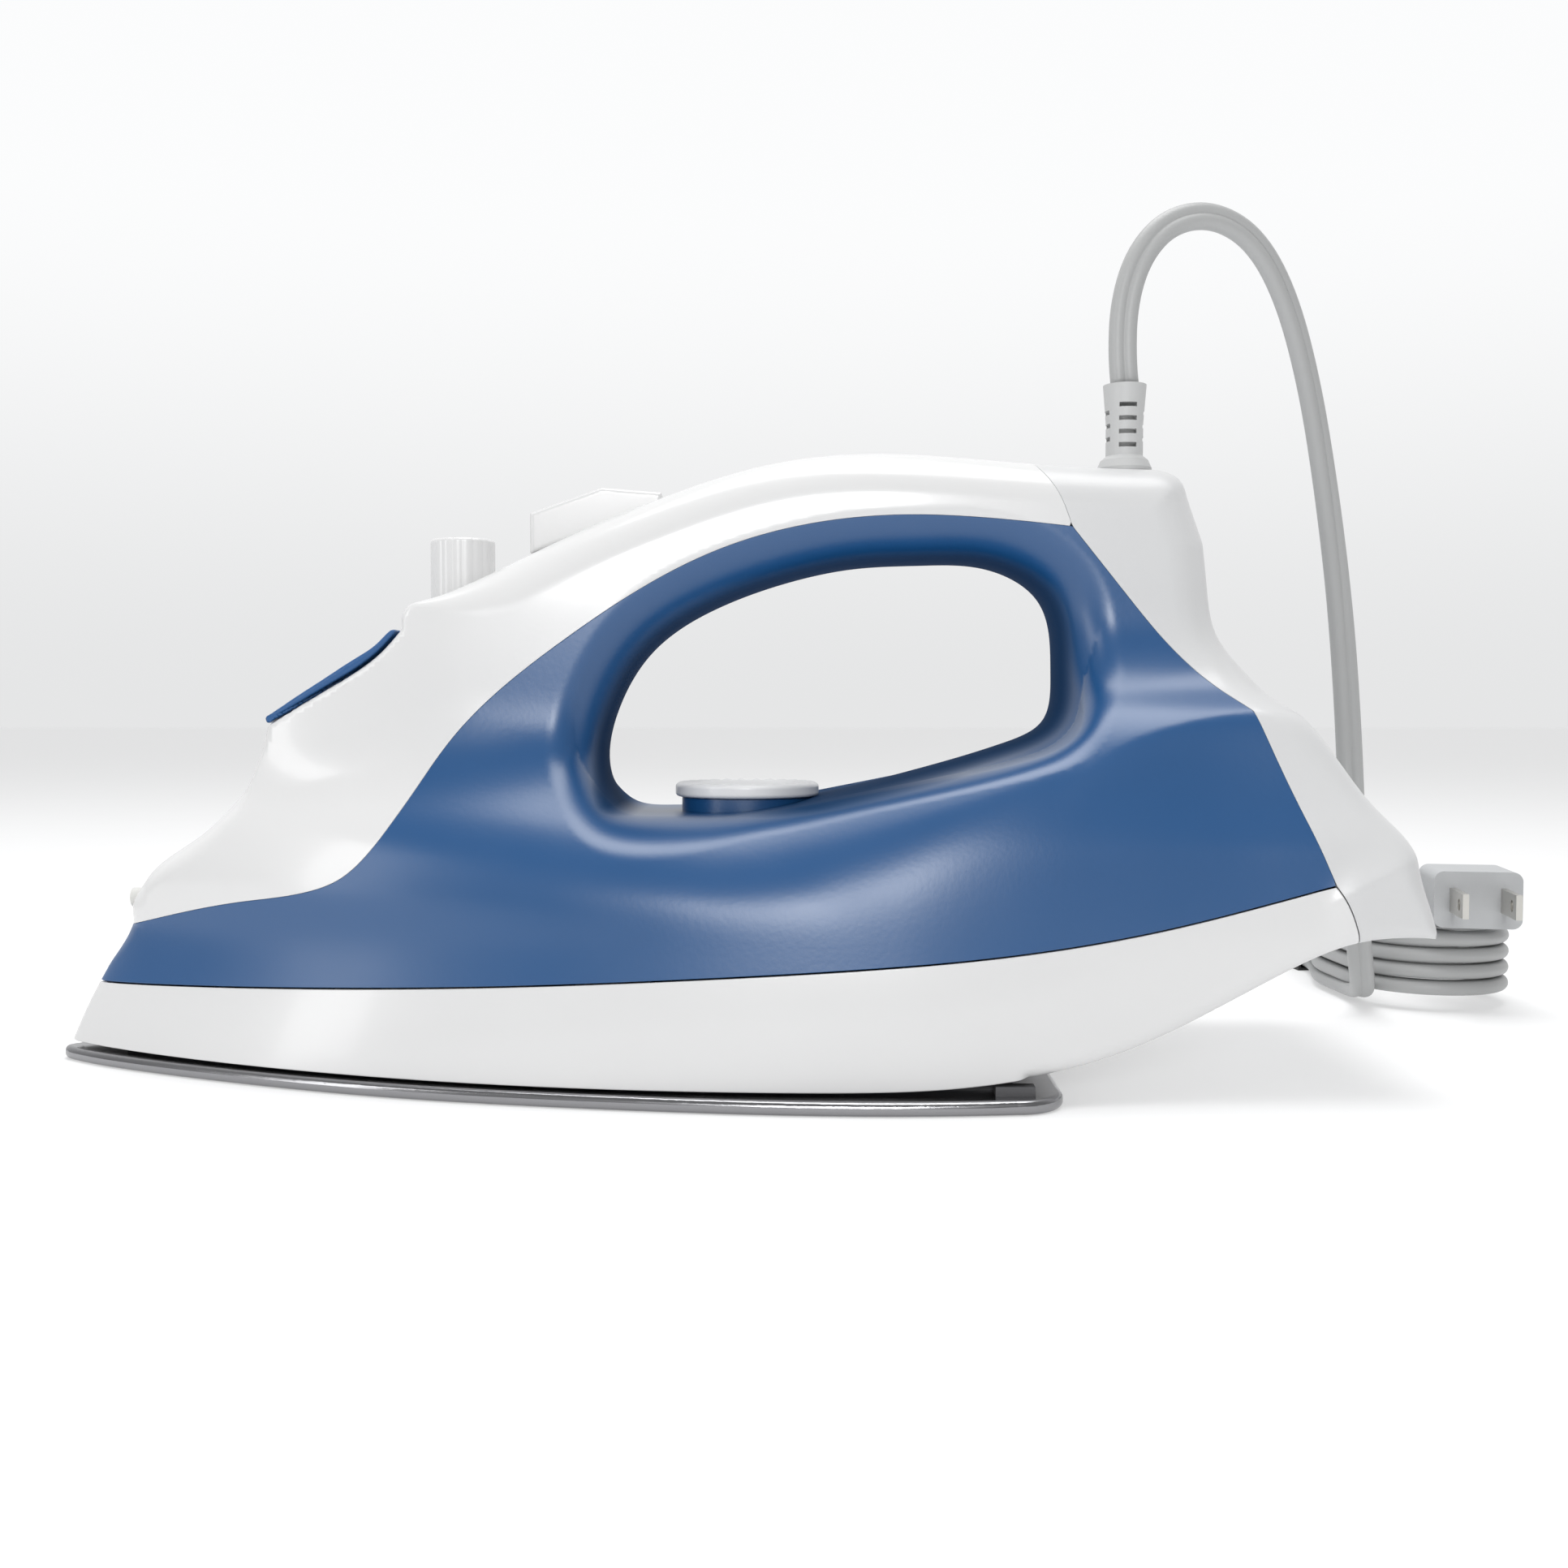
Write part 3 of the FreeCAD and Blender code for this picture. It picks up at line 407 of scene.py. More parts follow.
def plastic(name, colour, rough, grain=0.0, grain_size=900.0, coat=0.0, specular=0.5, mottle=0.02):
    """Moulded plastic: fine texture in its bump, and slight changes of tone and gloss."""
    material = bpy.data.materials.new(name)
    material.use_nodes = True
    tree = material.node_tree
    shader = tree.nodes["Principled BSDF"]
    shader.inputs["Roughness"].default_value = rough
    shader.inputs["Specular IOR Level"].default_value = specular
    shader.inputs["Coat Weight"].default_value = coat
    shader.inputs["Coat Roughness"].default_value = 0.08
    place = tree.nodes.new("ShaderNodeTexCoord")
    tone = tree.nodes.new("ShaderNodeTexNoise")
    tone.inputs["Scale"].default_value = 22.0
    tone.inputs["Detail"].default_value = 3.0
    tree.links.new(place.outputs["Object"], tone.inputs["Vector"])
    ramp = tree.nodes.new("ShaderNodeValToRGB")
    ramp.color_ramp.elements[0].position = 0.3
    ramp.color_ramp.elements[1].position = 0.7
    ramp.color_ramp.elements[0].color = [c * (1 - mottle) for c in colour] + [1]
    ramp.color_ramp.elements[1].color = [min(1, c * (1 + mottle)) for c in colour] + [1]
    tree.links.new(tone.outputs["Fac"], ramp.inputs["Fac"])
    tree.links.new(ramp.outputs["Color"], shader.inputs["Base Color"])
    gloss = tree.nodes.new("ShaderNodeTexNoise")
    gloss.inputs["Scale"].default_value = 60.0
    gloss.inputs["Detail"].default_value = 4.0
    tree.links.new(place.outputs["Object"], gloss.inputs["Vector"])
    spread = tree.nodes.new("ShaderNodeMapRange")
    spread.inputs["To Min"].default_value = rough * 0.9
    spread.inputs["To Max"].default_value = rough * 1.12
    tree.links.new(gloss.outputs["Fac"], spread.inputs["Value"])
    tree.links.new(spread.outputs["Result"], shader.inputs["Roughness"])
    if grain:
        fine = tree.nodes.new("ShaderNodeTexNoise")
        fine.inputs["Scale"].default_value = grain_size
        fine.inputs["Detail"].default_value = 2.0
        tree.links.new(place.outputs["Object"], fine.inputs["Vector"])
        bump = tree.nodes.new("ShaderNodeBump")
        bump.inputs["Strength"].default_value = grain
        bump.inputs["Distance"].default_value = 0.0002
        tree.links.new(fine.outputs["Fac"], bump.inputs["Height"])
        tree.links.new(bump.outputs["Normal"], shader.inputs["Normal"])
    return material


GRIP_SPECULAR = 0.06
GRIP_ROUGHNESS = 0.8
# How far the painted shade darkens the base colour deep in the hand opening.
GRIP_PAINTED_SHADE = 0.5


def dull_grip_and_paint_shade(material, specular):
    """A duller finish where the mesh's grip value says so, inside the hand opening, with painted
    shade: the base colour is darkened there as the opening's own shade would darken it.
    """
    tree = material.node_tree
    shader = tree.nodes["Principled BSDF"]
    mask = tree.nodes.new("ShaderNodeAttribute")
    mask.attribute_name = "grip"
    gloss = tree.nodes.new("ShaderNodeMapRange")
    gloss.inputs["To Min"].default_value = specular
    gloss.inputs["To Max"].default_value = GRIP_SPECULAR
    tree.links.new(mask.outputs["Fac"], gloss.inputs["Value"])
    tree.links.new(gloss.outputs["Result"], shader.inputs["Specular IOR Level"])
    rough = tree.nodes.new("ShaderNodeMath")
    rough.operation = "MAXIMUM"
    dull = tree.nodes.new("ShaderNodeMath")
    dull.operation = "MULTIPLY"
    dull.inputs[1].default_value = GRIP_ROUGHNESS
    tree.links.new(mask.outputs["Fac"], dull.inputs[0])
    tree.links.new(shader.inputs["Roughness"].links[0].from_socket, rough.inputs[0])
    tree.links.new(dull.outputs["Value"], rough.inputs[1])
    tree.links.new(rough.outputs["Value"], shader.inputs["Roughness"])
    # Painted shade: the base colour is darkened towards the inside of the hand opening.
    share = tree.nodes.new("ShaderNodeMapRange")
    share.inputs["To Min"].default_value = 1.0
    share.inputs["To Max"].default_value = GRIP_PAINTED_SHADE
    tree.links.new(mask.outputs["Fac"], share.inputs["Value"])
    painted_shade = tree.nodes.new("ShaderNodeVectorMath")
    painted_shade.operation = "SCALE"
    colour = shader.inputs["Base Color"].links[0].from_socket
    tree.links.new(colour, painted_shade.inputs["Vector"])
    tree.links.new(share.outputs["Result"], painted_shade.inputs["Scale"])
    tree.links.new(painted_shade.outputs["Vector"], shader.inputs["Base Color"])


def metal(name, colour, rough, brushed=False, anisotropy=0.0):
    """Bare metal with a fine uneven finish, drawn out along its length where it is brushed."""
    material = plastic(name, colour, rough, grain=0.12, grain_size=500.0, mottle=0.06)
    shader = material.node_tree.nodes["Principled BSDF"]
    shader.inputs["Metallic"].default_value = 1.0
    shader.inputs["Anisotropic"].default_value = anisotropy
    if brushed:
        tree = material.node_tree
        place = tree.nodes.new("ShaderNodeMapping")
        place.inputs["Scale"].default_value = (0.05, 1.0, 1.0)
        coordinates = next(n for n in tree.nodes if n.bl_idname == "ShaderNodeTexCoord")
        tree.links.new(coordinates.outputs["Object"], place.inputs["Vector"])
        for node in [n for n in tree.nodes if n.bl_idname == "ShaderNodeTexNoise"]:
            tree.links.new(place.outputs["Vector"], node.inputs["Vector"])
    return material


WHITE = plastic("white_gloss", (0.68, 0.68, 0.68), 0.24, grain=0.05, coat=0.25, mottle=0.01)
REAR_WHITE = plastic("rear_white", (0.6, 0.603, 0.607), 0.32, grain=0.12, mottle=0.012)
BLUE = plastic("blue_satin", (0.008, 0.072, 0.21), 0.32, grain=0.08, mottle=0.02, specular=0.7)
# The blue is duller inside the hand opening and has painted shade there.
dull_grip_and_paint_shade(BLUE, 0.8)
LID_BLUE = plastic("lid_blue", (0.015, 0.085, 0.24), 0.34, grain=0.06, mottle=0.02)
# Painted light: the dial's white is set brighter than the other white plastic to lift the shade it
# sits in under the handle.
DIAL_WHITE_PAINTED_LIGHT = plastic("dial_white", (0.84, 0.84, 0.84), 0.3, grain=0.06, coat=0.2, mottle=0.01)
CORD_GREY = plastic("cord_grey", (0.385, 0.39, 0.39), 0.42, grain=0.18, grain_size=1400)
GUARD_GREY = plastic("guard_grey", (0.50, 0.505, 0.505), 0.45, grain=0.15, mottle=0.02)
PLUG_GREY = plastic("plug_grey", (0.46, 0.47, 0.48), 0.5, grain=0.25, mottle=0.03)
TIE_BLACK = plastic("tie_black", (0.012, 0.012, 0.013), 0.5, grain=0.3, mottle=0.1)
BLACK = plastic("black_plastic", (0.015, 0.015, 0.016), 0.5, grain=0.2, mottle=0.1)
TANK = plastic("tank_plastic", (0.32, 0.42, 0.52), 0.3, grain=0.05)
SILICONE = plastic("silicone", (0.55, 0.53, 0.5), 0.6, grain=0.1)
PUMP = plastic("pump_plastic", (0.62, 0.62, 0.6), 0.4, grain=0.1)
SLEEVE = plastic("wire_sleeve", (0.5, 0.46, 0.38), 0.8, grain=0.5)
PLATE = metal("plate_steel", (0.30, 0.30, 0.31), 0.2, brushed=True, anisotropy=0.5)
CASTING = metal("cast_aluminium", (0.12, 0.12, 0.125), 0.55)
SHEATH = metal("element_sheath", (0.25, 0.24, 0.23), 0.45)
CHAMBER = metal("chamber_steel", (0.45, 0.45, 0.46), 0.35, brushed=True)
SPRING = metal("spring_steel", (0.5, 0.5, 0.5), 0.3)
SCREW = metal("screw_steel", (0.5, 0.5, 0.52), 0.3)
NICKEL = metal("blade_nickel", (0.55, 0.54, 0.51), 0.3, brushed=True)

NODE_LOOKS = {
    "soleplate": PLATE, "heater_casting": CASTING, "heating_element": SHEATH,
    "steam_chamber_cover": CHAMBER, "soleplate_clips": CASTING, "thermostat": CHAMBER,
    "thermal_fuse": SLEEVE, "casting_screws": SCREW, "rear_cover_screws": SCREW,
    "water_tank": TANK, "valve_seat": SILICONE, "steam_valve_rod": PUMP, "pump_body": PUMP,
    "suction_tube": SILICONE, "pump_piston": PUMP, "pump_spring": SPRING, "burst_knob": WHITE,
    "spray_hose": SILICONE, "spray_nozzle": PUMP, "lid_pin": SCREW, "dial_spindle": BLACK,
    "dial_base": BLUE, "terminal_block": BLACK, "supply_leads": SLEEVE, "heater_leads": SLEEVE,
    "guard_retainer": BLACK, "cord_clamp": BLACK, "cord_guard": GUARD_GREY,
    "cord_tie": TIE_BLACK, "mains_plug": PLUG_GREY, "plug_blades": NICKEL,
}


# ---- the body's form ----

# Level sections: height, nose, half-width, reach to the full width, and the nose's fullness.
LEVELS = np.array([
    (2.6, -147.4, 52.5, 184, 0.82), (12, -143.2, 52.0, 180, 0.82), (22, -137.8, 51.2, 175, 0.82),
    (32, -133.4, 49.8, 170, 0.80), (42, -132.6, 47.2, 158, 0.78), (50, -128.0, 42.5, 142, 0.74),
    (57, -122.5, 35.5, 124, 0.70), (64, -117.0, 27.0, 104, 0.66), (72, -114.5, 21.0, 84, 0.62),
    (80, -113.0, 18.8, 68, 0.60), (88, -110.0, 18.2, 60, 0.60), (97, -102.0, 17.8, 52, 0.60),
    (110, -86.0, 17.2, 46, 0.60), (124, -62.0, 16.6, 40, 0.60), (142, -40.0, 16.0, 36, 0.60),
])
HEEL = [(2.6, 151.3, 44.5), (35, 151.5, 45), (46, 149.2, 44), (52.2, 147.8, 43), (59.6, 142, 40),
        (67.9, 136.2, 37), (80, 127.8, 32), (85.3, 123.0, 25.5), (91.9, 117.8, 20.5),
        (97.4, 114.6, 18), (107.7, 112.8, 16.6), (118, 111.8, 16.2), (126, 108.6, 16.1),
        (142, 106, 16)]
# Creases in the side view: where they run, then the ridge's height and reach.
SHOULDER = spline([(60, 47), (74, 62.5), (86, 72), (98, 76.8), (115.3, 80.4), (130, 81)]).T
SHOULDER_FOLD = (1.6, 11.0)
FOOT = ((120, 155), (36, 54.5))
FOOT_FOLD = (1.3, 9.0)
RISE_MOST = 20.0
NOSE_TIP = 1.5
NOSE_LEAD = 2.4
HEEL_STARTS = 40.0
HEEL_FULL = 118.0
SKIRT_BOTTOM = [(-150, 4.2), (-60, 3.6), (20, 3.6), (58, 4.9), (86, 10.4), (116.6, 24.7),
                (135.5, 32.7), (158, 33.2)]
SKIRT_LINE = [(-150, 17.6), (-98.3, 20.4), (-51, 23.0), (5.2, 26.5), (37.5, 28.6),
              (69.8, 31.6), (96, 35.9), (130.4, 44.6)]
COVER_LINE = [(-142, 29.0), (-132.4, 31.5), (-100.7, 38.8), (-84.5, 41.7), (-76.9, 44.7),
              (-70.1, 51.0), (-57.7, 70.9), (-31.3, 95.6), (3.9, 116.1), (39.7, 123.3),
              (80.8, 120.9)]
REAR_TOP = [(70, 145), (73.2, 136), (77, 130), (80.8, 120.9)]
REAR_UPPER = [(80.8, 120.9), (95.8, 102), (107.9, 87.9), (116.2, 80.4)]
REAR_LOWER = [(130.4, 44.6), (133.6, 39), (135.5, 32.7)]
TOP_LINE = [(-170, 20), (-134.5, 33), (-131.3, 40), (-114.8, 52.3), (-107.3, 59.1),
            (-99.8, 70.9), (-97.9, 77.4)]
LID_SEAT = [(-97.9, 77.4), (-90, 81.7), (-81, 86.7), (-75.5, 90.0), (-71, 93.6), (-67.4, 97.6)]
LID_PIN = (-67.0, 96.95)
LID_RECESS = [(-98.5, 77.1), (-67, 93.9), (-63, 96), (-63, 104), (-100, 104)]
CROWN = [(-66.6, 98.6), (-66.7, 101.2), (-65.4, 103.6), (-62.6, 104.7), (-48.8, 110.9),
         (-10.4, 128.2), (16.4, 136.3), (41.7, 138.2), (74.5, 135.9), (98, 134.8),
         (103.6, 134.1), (106.6, 132.2), (108.3, 128.0)]
GRIP = [(-22.6, 66), (-20.8, 80.5), (-12.7, 94.0), (2.8, 104.3), (18.3, 109.9), (33.7, 113.1),
        (49.2, 113.9), (64.7, 112.9), (76.3, 105.8), (79.4, 89.4), (77.6, 78.4), (68.5, 73.2),
        (48, 67.0), (28, 61.8), (9, 58.2), (-10, 57.6), (-19.4, 59.4)]


def table(rows, column):
    """One column of a table over its first column, as a smooth function."""
    line = spline([(row[0], row[column]) for row in rows], 1500)
    return lambda value: np.interp(value, line[:, 0], line[:, 1])


nose_at = table(LEVELS, 1)
half_at = table(LEVELS, 2)
reach_at = table(LEVELS, 3)
fullness_at = table(LEVELS, 4)
heel_half_at = table(HEEL, 2)


def level_of(x, z):
    """The level that passes through a side-view point: levels climb towards the heel."""
    climb = RISE_MOST * smooth(0.0, 95.0, x)
    low = z - RISE_MOST
    high = z
    for _ in range(28):
        middle = (low + high) / 2
        weight = smooth(28.0, 50.0, middle) * (1 - smooth(75.0, 142.0, middle))
        over = middle + climb * weight > z
        high = np.where(over, middle, high)
        low = np.where(over, low, middle)
    return (low + high) / 2


level_chart = Chart(level_of)


def fold(away, height, reach):
    """A low ridge: height where away is 0, gone at reach to either side."""
    return height * np.maximum(1 - np.sqrt(away * away + 1.0) / reach, 0) ** 2


def width(x, z):
    """Half-width of the body at a side-view point, negative in front of its nose."""
    level = level_chart(x, z)
    share = np.minimum((x - nose_at(level) + NOSE_LEAD) / reach_at(level), 1.0)
    blend = smooth(HEEL_STARTS, HEEL_FULL, x)
    half = half_at(level) * (1 - blend) + heel_half_at(z) * blend
    half = half + fold(z - np.interp(x, *SHOULDER), *SHOULDER_FOLD) * smooth(72, 104, x)
    half = half + fold(z - np.interp(x, *FOOT), *FOOT_FOLD) * smooth(126, 135, x)
    power = np.sign(share) * np.abs(share) ** fullness_at(level)
    return half * np.sin(math.pi / 2 * np.maximum(power, -1))


def steepness(x, z):
    """How much longer than across a step is along the slanting side, up to a limit."""
    dx = width(x + 0.5, z) - width(x - 0.5, z)
    dz = width(x, z + 0.5) - width(x, z - 0.5)
    return np.sqrt(1 + np.minimum(dx * dx + dz * dz, 4.0))


PLATE_END = 66.0
HEEL_TOE = (151.5, 33.4)
BELOW = -40.0
ABOVE = 170.0
AHEAD = -170.0
BEHIND = 170.0
floor_line = spline(SKIRT_BOTTOM)
floor_rear = floor_line[(floor_line[:, 0] > PLATE_END) & (floor_line[:, 0] < 150)]
heel_line = spline([(x, z) for z, x, half in reversed(HEEL[:-2])])
crown_line = spline(CROWN)


def side_outline(slope):
    """The body's closed side view, with the top of the nose where the slope puts it."""
    front = spline(TOP_LINE)
    heel = heel_line[(heel_line[:, 1] > 35) & (heel_line[:, 1] < 126)]
    return np.vstack([front[:-1], slope, crown_line, heel, [HEEL_TOE], floor_rear[::-1],
                      [(PLATE_END, BELOW), (AHEAD, BELOW)]])


outline_chart = Chart(depth_in(side_outline(spline(LID_SEAT, 60))))
recess_depth = depth_in(np.array(LID_RECESS, float))
grip_line = spline(GRIP, 300, closed=True)[:-1]
grip_chart = Chart(depth_in(grip_line))
steep_chart = Chart(steepness)


HANDLE_EDGE = 10.5
NOSE_EDGE = 5.0
LID_EDGE = 1.2
HEEL_EDGE = 6.0
LOW_EDGE = 2.6


def edge_radius(x, z):
    """How generously the outline's edge is rounded."""
    handle = HANDLE_EDGE * smooth(-70, -40, x)
    nose = NOSE_EDGE * (1 - smooth(-104, -99, x))
    heel = smooth(100, 106, x) * (1 - smooth(60, 110, z))
    radius = np.maximum(np.maximum(handle, nose), LID_EDGE)
    radius = radius * (1 - heel) + HEEL_EDGE * heel
    low = smooth(35, 55, x) * (1 - smooth(30, 48, z - 0.25 * (x - 133)))
    return radius * (1 - low) + LOW_EDGE * low


edge_chart = Chart(edge_radius)
recess_chart = Chart(recess_depth)


BARREL_ROOM = 2.8
RECESS_END = -64.1
RECESS_HALF = 12.3
NOZZLE = (-128.6, 35.4)
NOZZLE_RADIUS = 3.6
NOZZLE_HALF = 1.5
NOZZLE_BLEND = 2.5
GRIP_CROWN = 0.012
GRIP_HALF = 17.0
GRIP_ROUND = 8.5
GRIP_ROUND_LESS = 4.0


def body_field(x, y, z):
    """The whole body's outer form: its sides, outline, lid recess, nozzle and hand opening."""
    side = (np.sqrt(y * y + NOSE_TIP ** 2) - width(x, z)) / steep_chart(x, z)
    form = rounded_and(side, -outline_chart(x, z), edge_chart(x, z))
    pin = np.hypot(x - LID_PIN[0], z - LID_PIN[1])
    recess = np.maximum(np.minimum(-recess_chart(x, z), pin - BARREL_ROOM), x - RECESS_END)
    recess = np.maximum(recess, np.abs(y) - RECESS_HALF)
    form = rounded_and(form, -recess, 0.5)
    ahead = np.hypot(x - NOZZLE[0], z - NOZZLE[1])
    nozzle = np.hypot(ahead, np.maximum(np.abs(y) - NOZZLE_HALF, 0)) - NOZZLE_RADIUS
    form = rounded_or(form, nozzle, NOZZLE_BLEND)
    crowned = GRIP_CROWN * np.minimum(np.abs(y), GRIP_HALF) ** 2 * smooth(58, 72, z)
    softness = GRIP_ROUND - GRIP_ROUND_LESS * smooth(-12, 15, x) * (1 - smooth(74, 92, z))
    return rounded_and(form, grip_chart(x, z) + crowned, softness)


skirt_line = spline(SKIRT_LINE)
cover_line = spline(COVER_LINE)
rear_top = spline(REAR_TOP, 60)
rear_upper = spline(REAR_UPPER, 120)
rear_lower = spline(REAR_LOWER, 60)
floor_front = floor_line[floor_line[:, 0] < PLATE_END + 1]
skirt_end = REAR_LOWER[-1][0]
cover_end = REAR_TOP[0][0]
skirt_region = depth_in(np.vstack([skirt_line, rear_lower, [(skirt_end, BELOW),
                                   (PLATE_END + 1, BELOW)], floor_front[::-1]]))
top_region = depth_in(np.vstack([cover_line, rear_top[::-1], [(cover_end, ABOVE),
                                 (AHEAD, ABOVE), (AHEAD, COVER_LINE[0][1])]]))
rear_region = depth_in(np.vstack([rear_top, rear_upper, rear_lower, [(skirt_end, BELOW),
                                  (BEHIND, BELOW), (BEHIND, ABOVE), (cover_end, ABOVE)]]))
GAP = 0.02
JOINT_GAP = 0.16
KNOB_X = -56.2
KNOB_HOLE = 7.65
MOUTH_X = -83.0
MOUTH_STRETCH = 3.0
MOUTH_RADIUS = 6.4
SPRAY_Z = 37.4
SPRAY_HOLE = 2.9
GUARD_X = 95.4
GUARD_HOLE = 6.6
FAR = 40.0


def below_line(x, y, z):
    """Inside the white skirt: each of these is positive in its own shell's share."""
    return skirt_region(x, z) - JOINT_GAP


def in_top(x, y, z):
    hole = np.where(z > 90, np.hypot(x - KNOB_X, y) - KNOB_HOLE, FAR)
    mouth = np.hypot(np.maximum(np.abs(x - MOUTH_X) - MOUTH_STRETCH, 0), y) - MOUTH_RADIUS
    mouth = np.where((z > 66) & (x < -66), mouth, FAR)
    spray = np.where(x < -126, np.hypot(y, z - SPRAY_Z) - SPRAY_HOLE, FAR)
    return np.minimum(np.minimum(top_region(x, z) - GAP, hole), np.minimum(mouth, spray))


def in_rear(x, y, z):
    hole = np.where(z > 110, np.hypot(x - GUARD_X, y) - GUARD_HOLE, FAR)
    return np.minimum(rear_region(x, z) - GAP, hole)


def in_body(x, y, z):
    others = np.maximum(top_region(x, z), rear_region(x, z)) + GAP
    low = z - np.interp(x, floor_line[:, 0], floor_line[:, 1])
    return np.minimum(-np.maximum(others, skirt_region(x, z) + JOINT_GAP), low)


def mark_grip_gloss_and_painted_shade(piece):
    """How far each point is down into the hand opening, kept on the mesh for its material, which is
    duller there and carries painted shade.
    """
    points = np.array([v.co[:] for v in piece.data.vertices]) / MM
    mask = smooth(-4.0, -0.5, grip_chart(points[:, 0], points[:, 2]))
    mask = mask * smooth(56, 60, points[:, 2])
    layer = piece.data.attributes.new("grip", "FLOAT", "POINT")
    layer.data.foreach_set("value", mask.astype(np.float32))


def make_shells():
    step = 1.1
    mesh = contour(body_field, (-152, -58, -2), (153, 58, 141), step)
    pieces = {
        "heat_skirt": ("skirt_shell", below_line, WHITE, "white_gloss", 0.3),
        "body_shell": ("tank_shell", in_body, BLUE, "blue_satin", 0.12),
        "top_cover": ("handle_cover", in_top, WHITE, "white_gloss", 0.12),
        "rear_cover": ("heel_cover", in_rear, REAR_WHITE, "white_gloss", 0.12),
    }
    for node, (name, keep, material, slot, edge) in pieces.items():
        piece = shell(name, body_field, mesh, keep, material, edge)
        if node == "body_shell":
            mark_grip_gloss_and_painted_shade(piece)
        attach(piece, "root")
        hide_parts(node)


# ---- the cord ----

CORD_PITCH = 4.4
LOBE_RADIUS = 1.95
LOBE_APART = 1.25
CORD_ROUTE = [
    (95.4, 0, 154.7), (94.7, 0.2, 161), (95.2, 0.5, 174), (98.8, 1.2, 185),
    (106, 2.8, 192.8), (116.4, 5.4, 195.2), (127.2, 8.8, 190.6), (136, 13, 178.5),
    (143.4, 18, 159), (149.6, 23, 134), (154.9, 27.4, 106), (158.4, 30.8, 78),
    (160.9, 34, 52), (163.8, 39.2, 31), (167.9, 46.7, 17.5), (172.4, 56.7, 7.6),
    (176.4, 69, 3.2),
]
HANK_CENTRE = (191.0, 126.0)
HANK_TURN = math.radians(-84)
HANK_RUN = 96.0
HANK_FOLD = 19.2
HANK_WAIST = 9.0
HANK_LAYERS = 5
HANK_LOW = 3.0
WAIST_HALF = 7.0
WAIST_FADE = 33.0
FOLD_SWELL = 1.06
TIE_AT = -8.0
TAIL = [(11, 10.6, 22.6), (21, 12.6, 27.0), (30, 13.6, 30.0), (39, 12.8, 30.8), (47, 10.3, 30.8)]


def hank_place(along, aside, z):
    ahead = (math.cos(HANK_TURN), math.sin(HANK_TURN))
    right = (-ahead[1], ahead[0])
    return (HANK_CENTRE[0] + along * ahead[0] + aside * right[0],
            HANK_CENTRE[1] + along * ahead[1] + aside * right[1], z)


def hank_half(along):
    """Half the hank's width at its middle line: it is drawn in under the tie."""
    away = abs(along - TIE_AT) - WAIST_HALF
    return HANK_WAIST + (HANK_FOLD - HANK_WAIST) * float(smooth(0.0, WAIST_FADE, away))


def hank_turn():
    """One turn's points: down the left side, round the far fold, back and round the near one."""
    reach = HANK_RUN / 2
    swell = FOLD_SWELL * HANK_FOLD
    runs = [40, 27, 13, 0, -8, -16, -29, -42]
    turn = [(along, -hank_half(along)) for along in runs]
    folds = [math.radians(a) for a in (15, 45, 75, 105, 135, 165)]
    turn += [(-reach - swell * math.sin(a), -swell * math.cos(a)) for a in folds]
    turn += [(along, hank_half(along)) for along in reversed(runs)]
    turn += [(reach + swell * math.sin(a), swell * math.cos(a)) for a in folds]
    return turn


def cord_points():
    """The whole line: the route, then the turns, each a layer higher, then the tail to the plug."""
    points = list(CORD_ROUTE)
    turn = hank_turn()
    count = len(turn)
    level_steps = 4
    most = HANK_LOW + (HANK_LAYERS - 1) * CORD_PITCH
    for step in range((HANK_LAYERS - 1) * count + count // 2 + level_steps):
        along, aside = turn[step % count]
        rise = HANK_LOW + CORD_PITCH * (step - level_steps) / count
        points.append(hank_place(along, aside, max(min(most, rise), HANK_LOW)))
    points += [hank_place(*place) for place in TAIL]
    return points


def nurbs(points):
    curve = bpy.data.curves.new("cord_line", "CURVE")
    curve.dimensions = "3D"
    curve.resolution_u = 8
    line = curve.splines.new("NURBS")
    line.points.add(len(points) - 1)
    for point, place in zip(line.points, points):
        point.co = (place[0] * MM, place[1] * MM, place[2] * MM, 1)
    line.order_u = 3
    line.use_endpoint_u = True
    return curve


def sampled(curve):
    holder = bpy.data.objects.new("cord_line", curve)
    bpy.context.scene.collection.objects.link(holder)
    bpy.context.view_layer.update()
    mesh = bpy.data.meshes.new_from_object(holder)
    path = np.array([v.co[:] for v in mesh.vertices])
    bpy.data.objects.remove(holder)
    bpy.data.meshes.remove(mesh)
    return path


def section_points():
    """The flat twin section, as (along its width, along its thickness)."""
    field = []
    for angle in np.linspace(0, 2 * math.pi, 40, endpoint=False):
        best = 0.0
        for centre in (-LOBE_APART, LOBE_APART):
            along = centre * math.cos(angle)
            root = LOBE_RADIUS ** 2 - (centre * math.sin(angle)) ** 2
            if root > 0:
                best = max(best, along + math.sqrt(root))
        field.append((best * math.cos(angle), best * math.sin(angle)))
    return np.array(field)


LAID_BELOW = 9.0
HANGS_FOR = 200.0
TURNS_OVER = 170.0


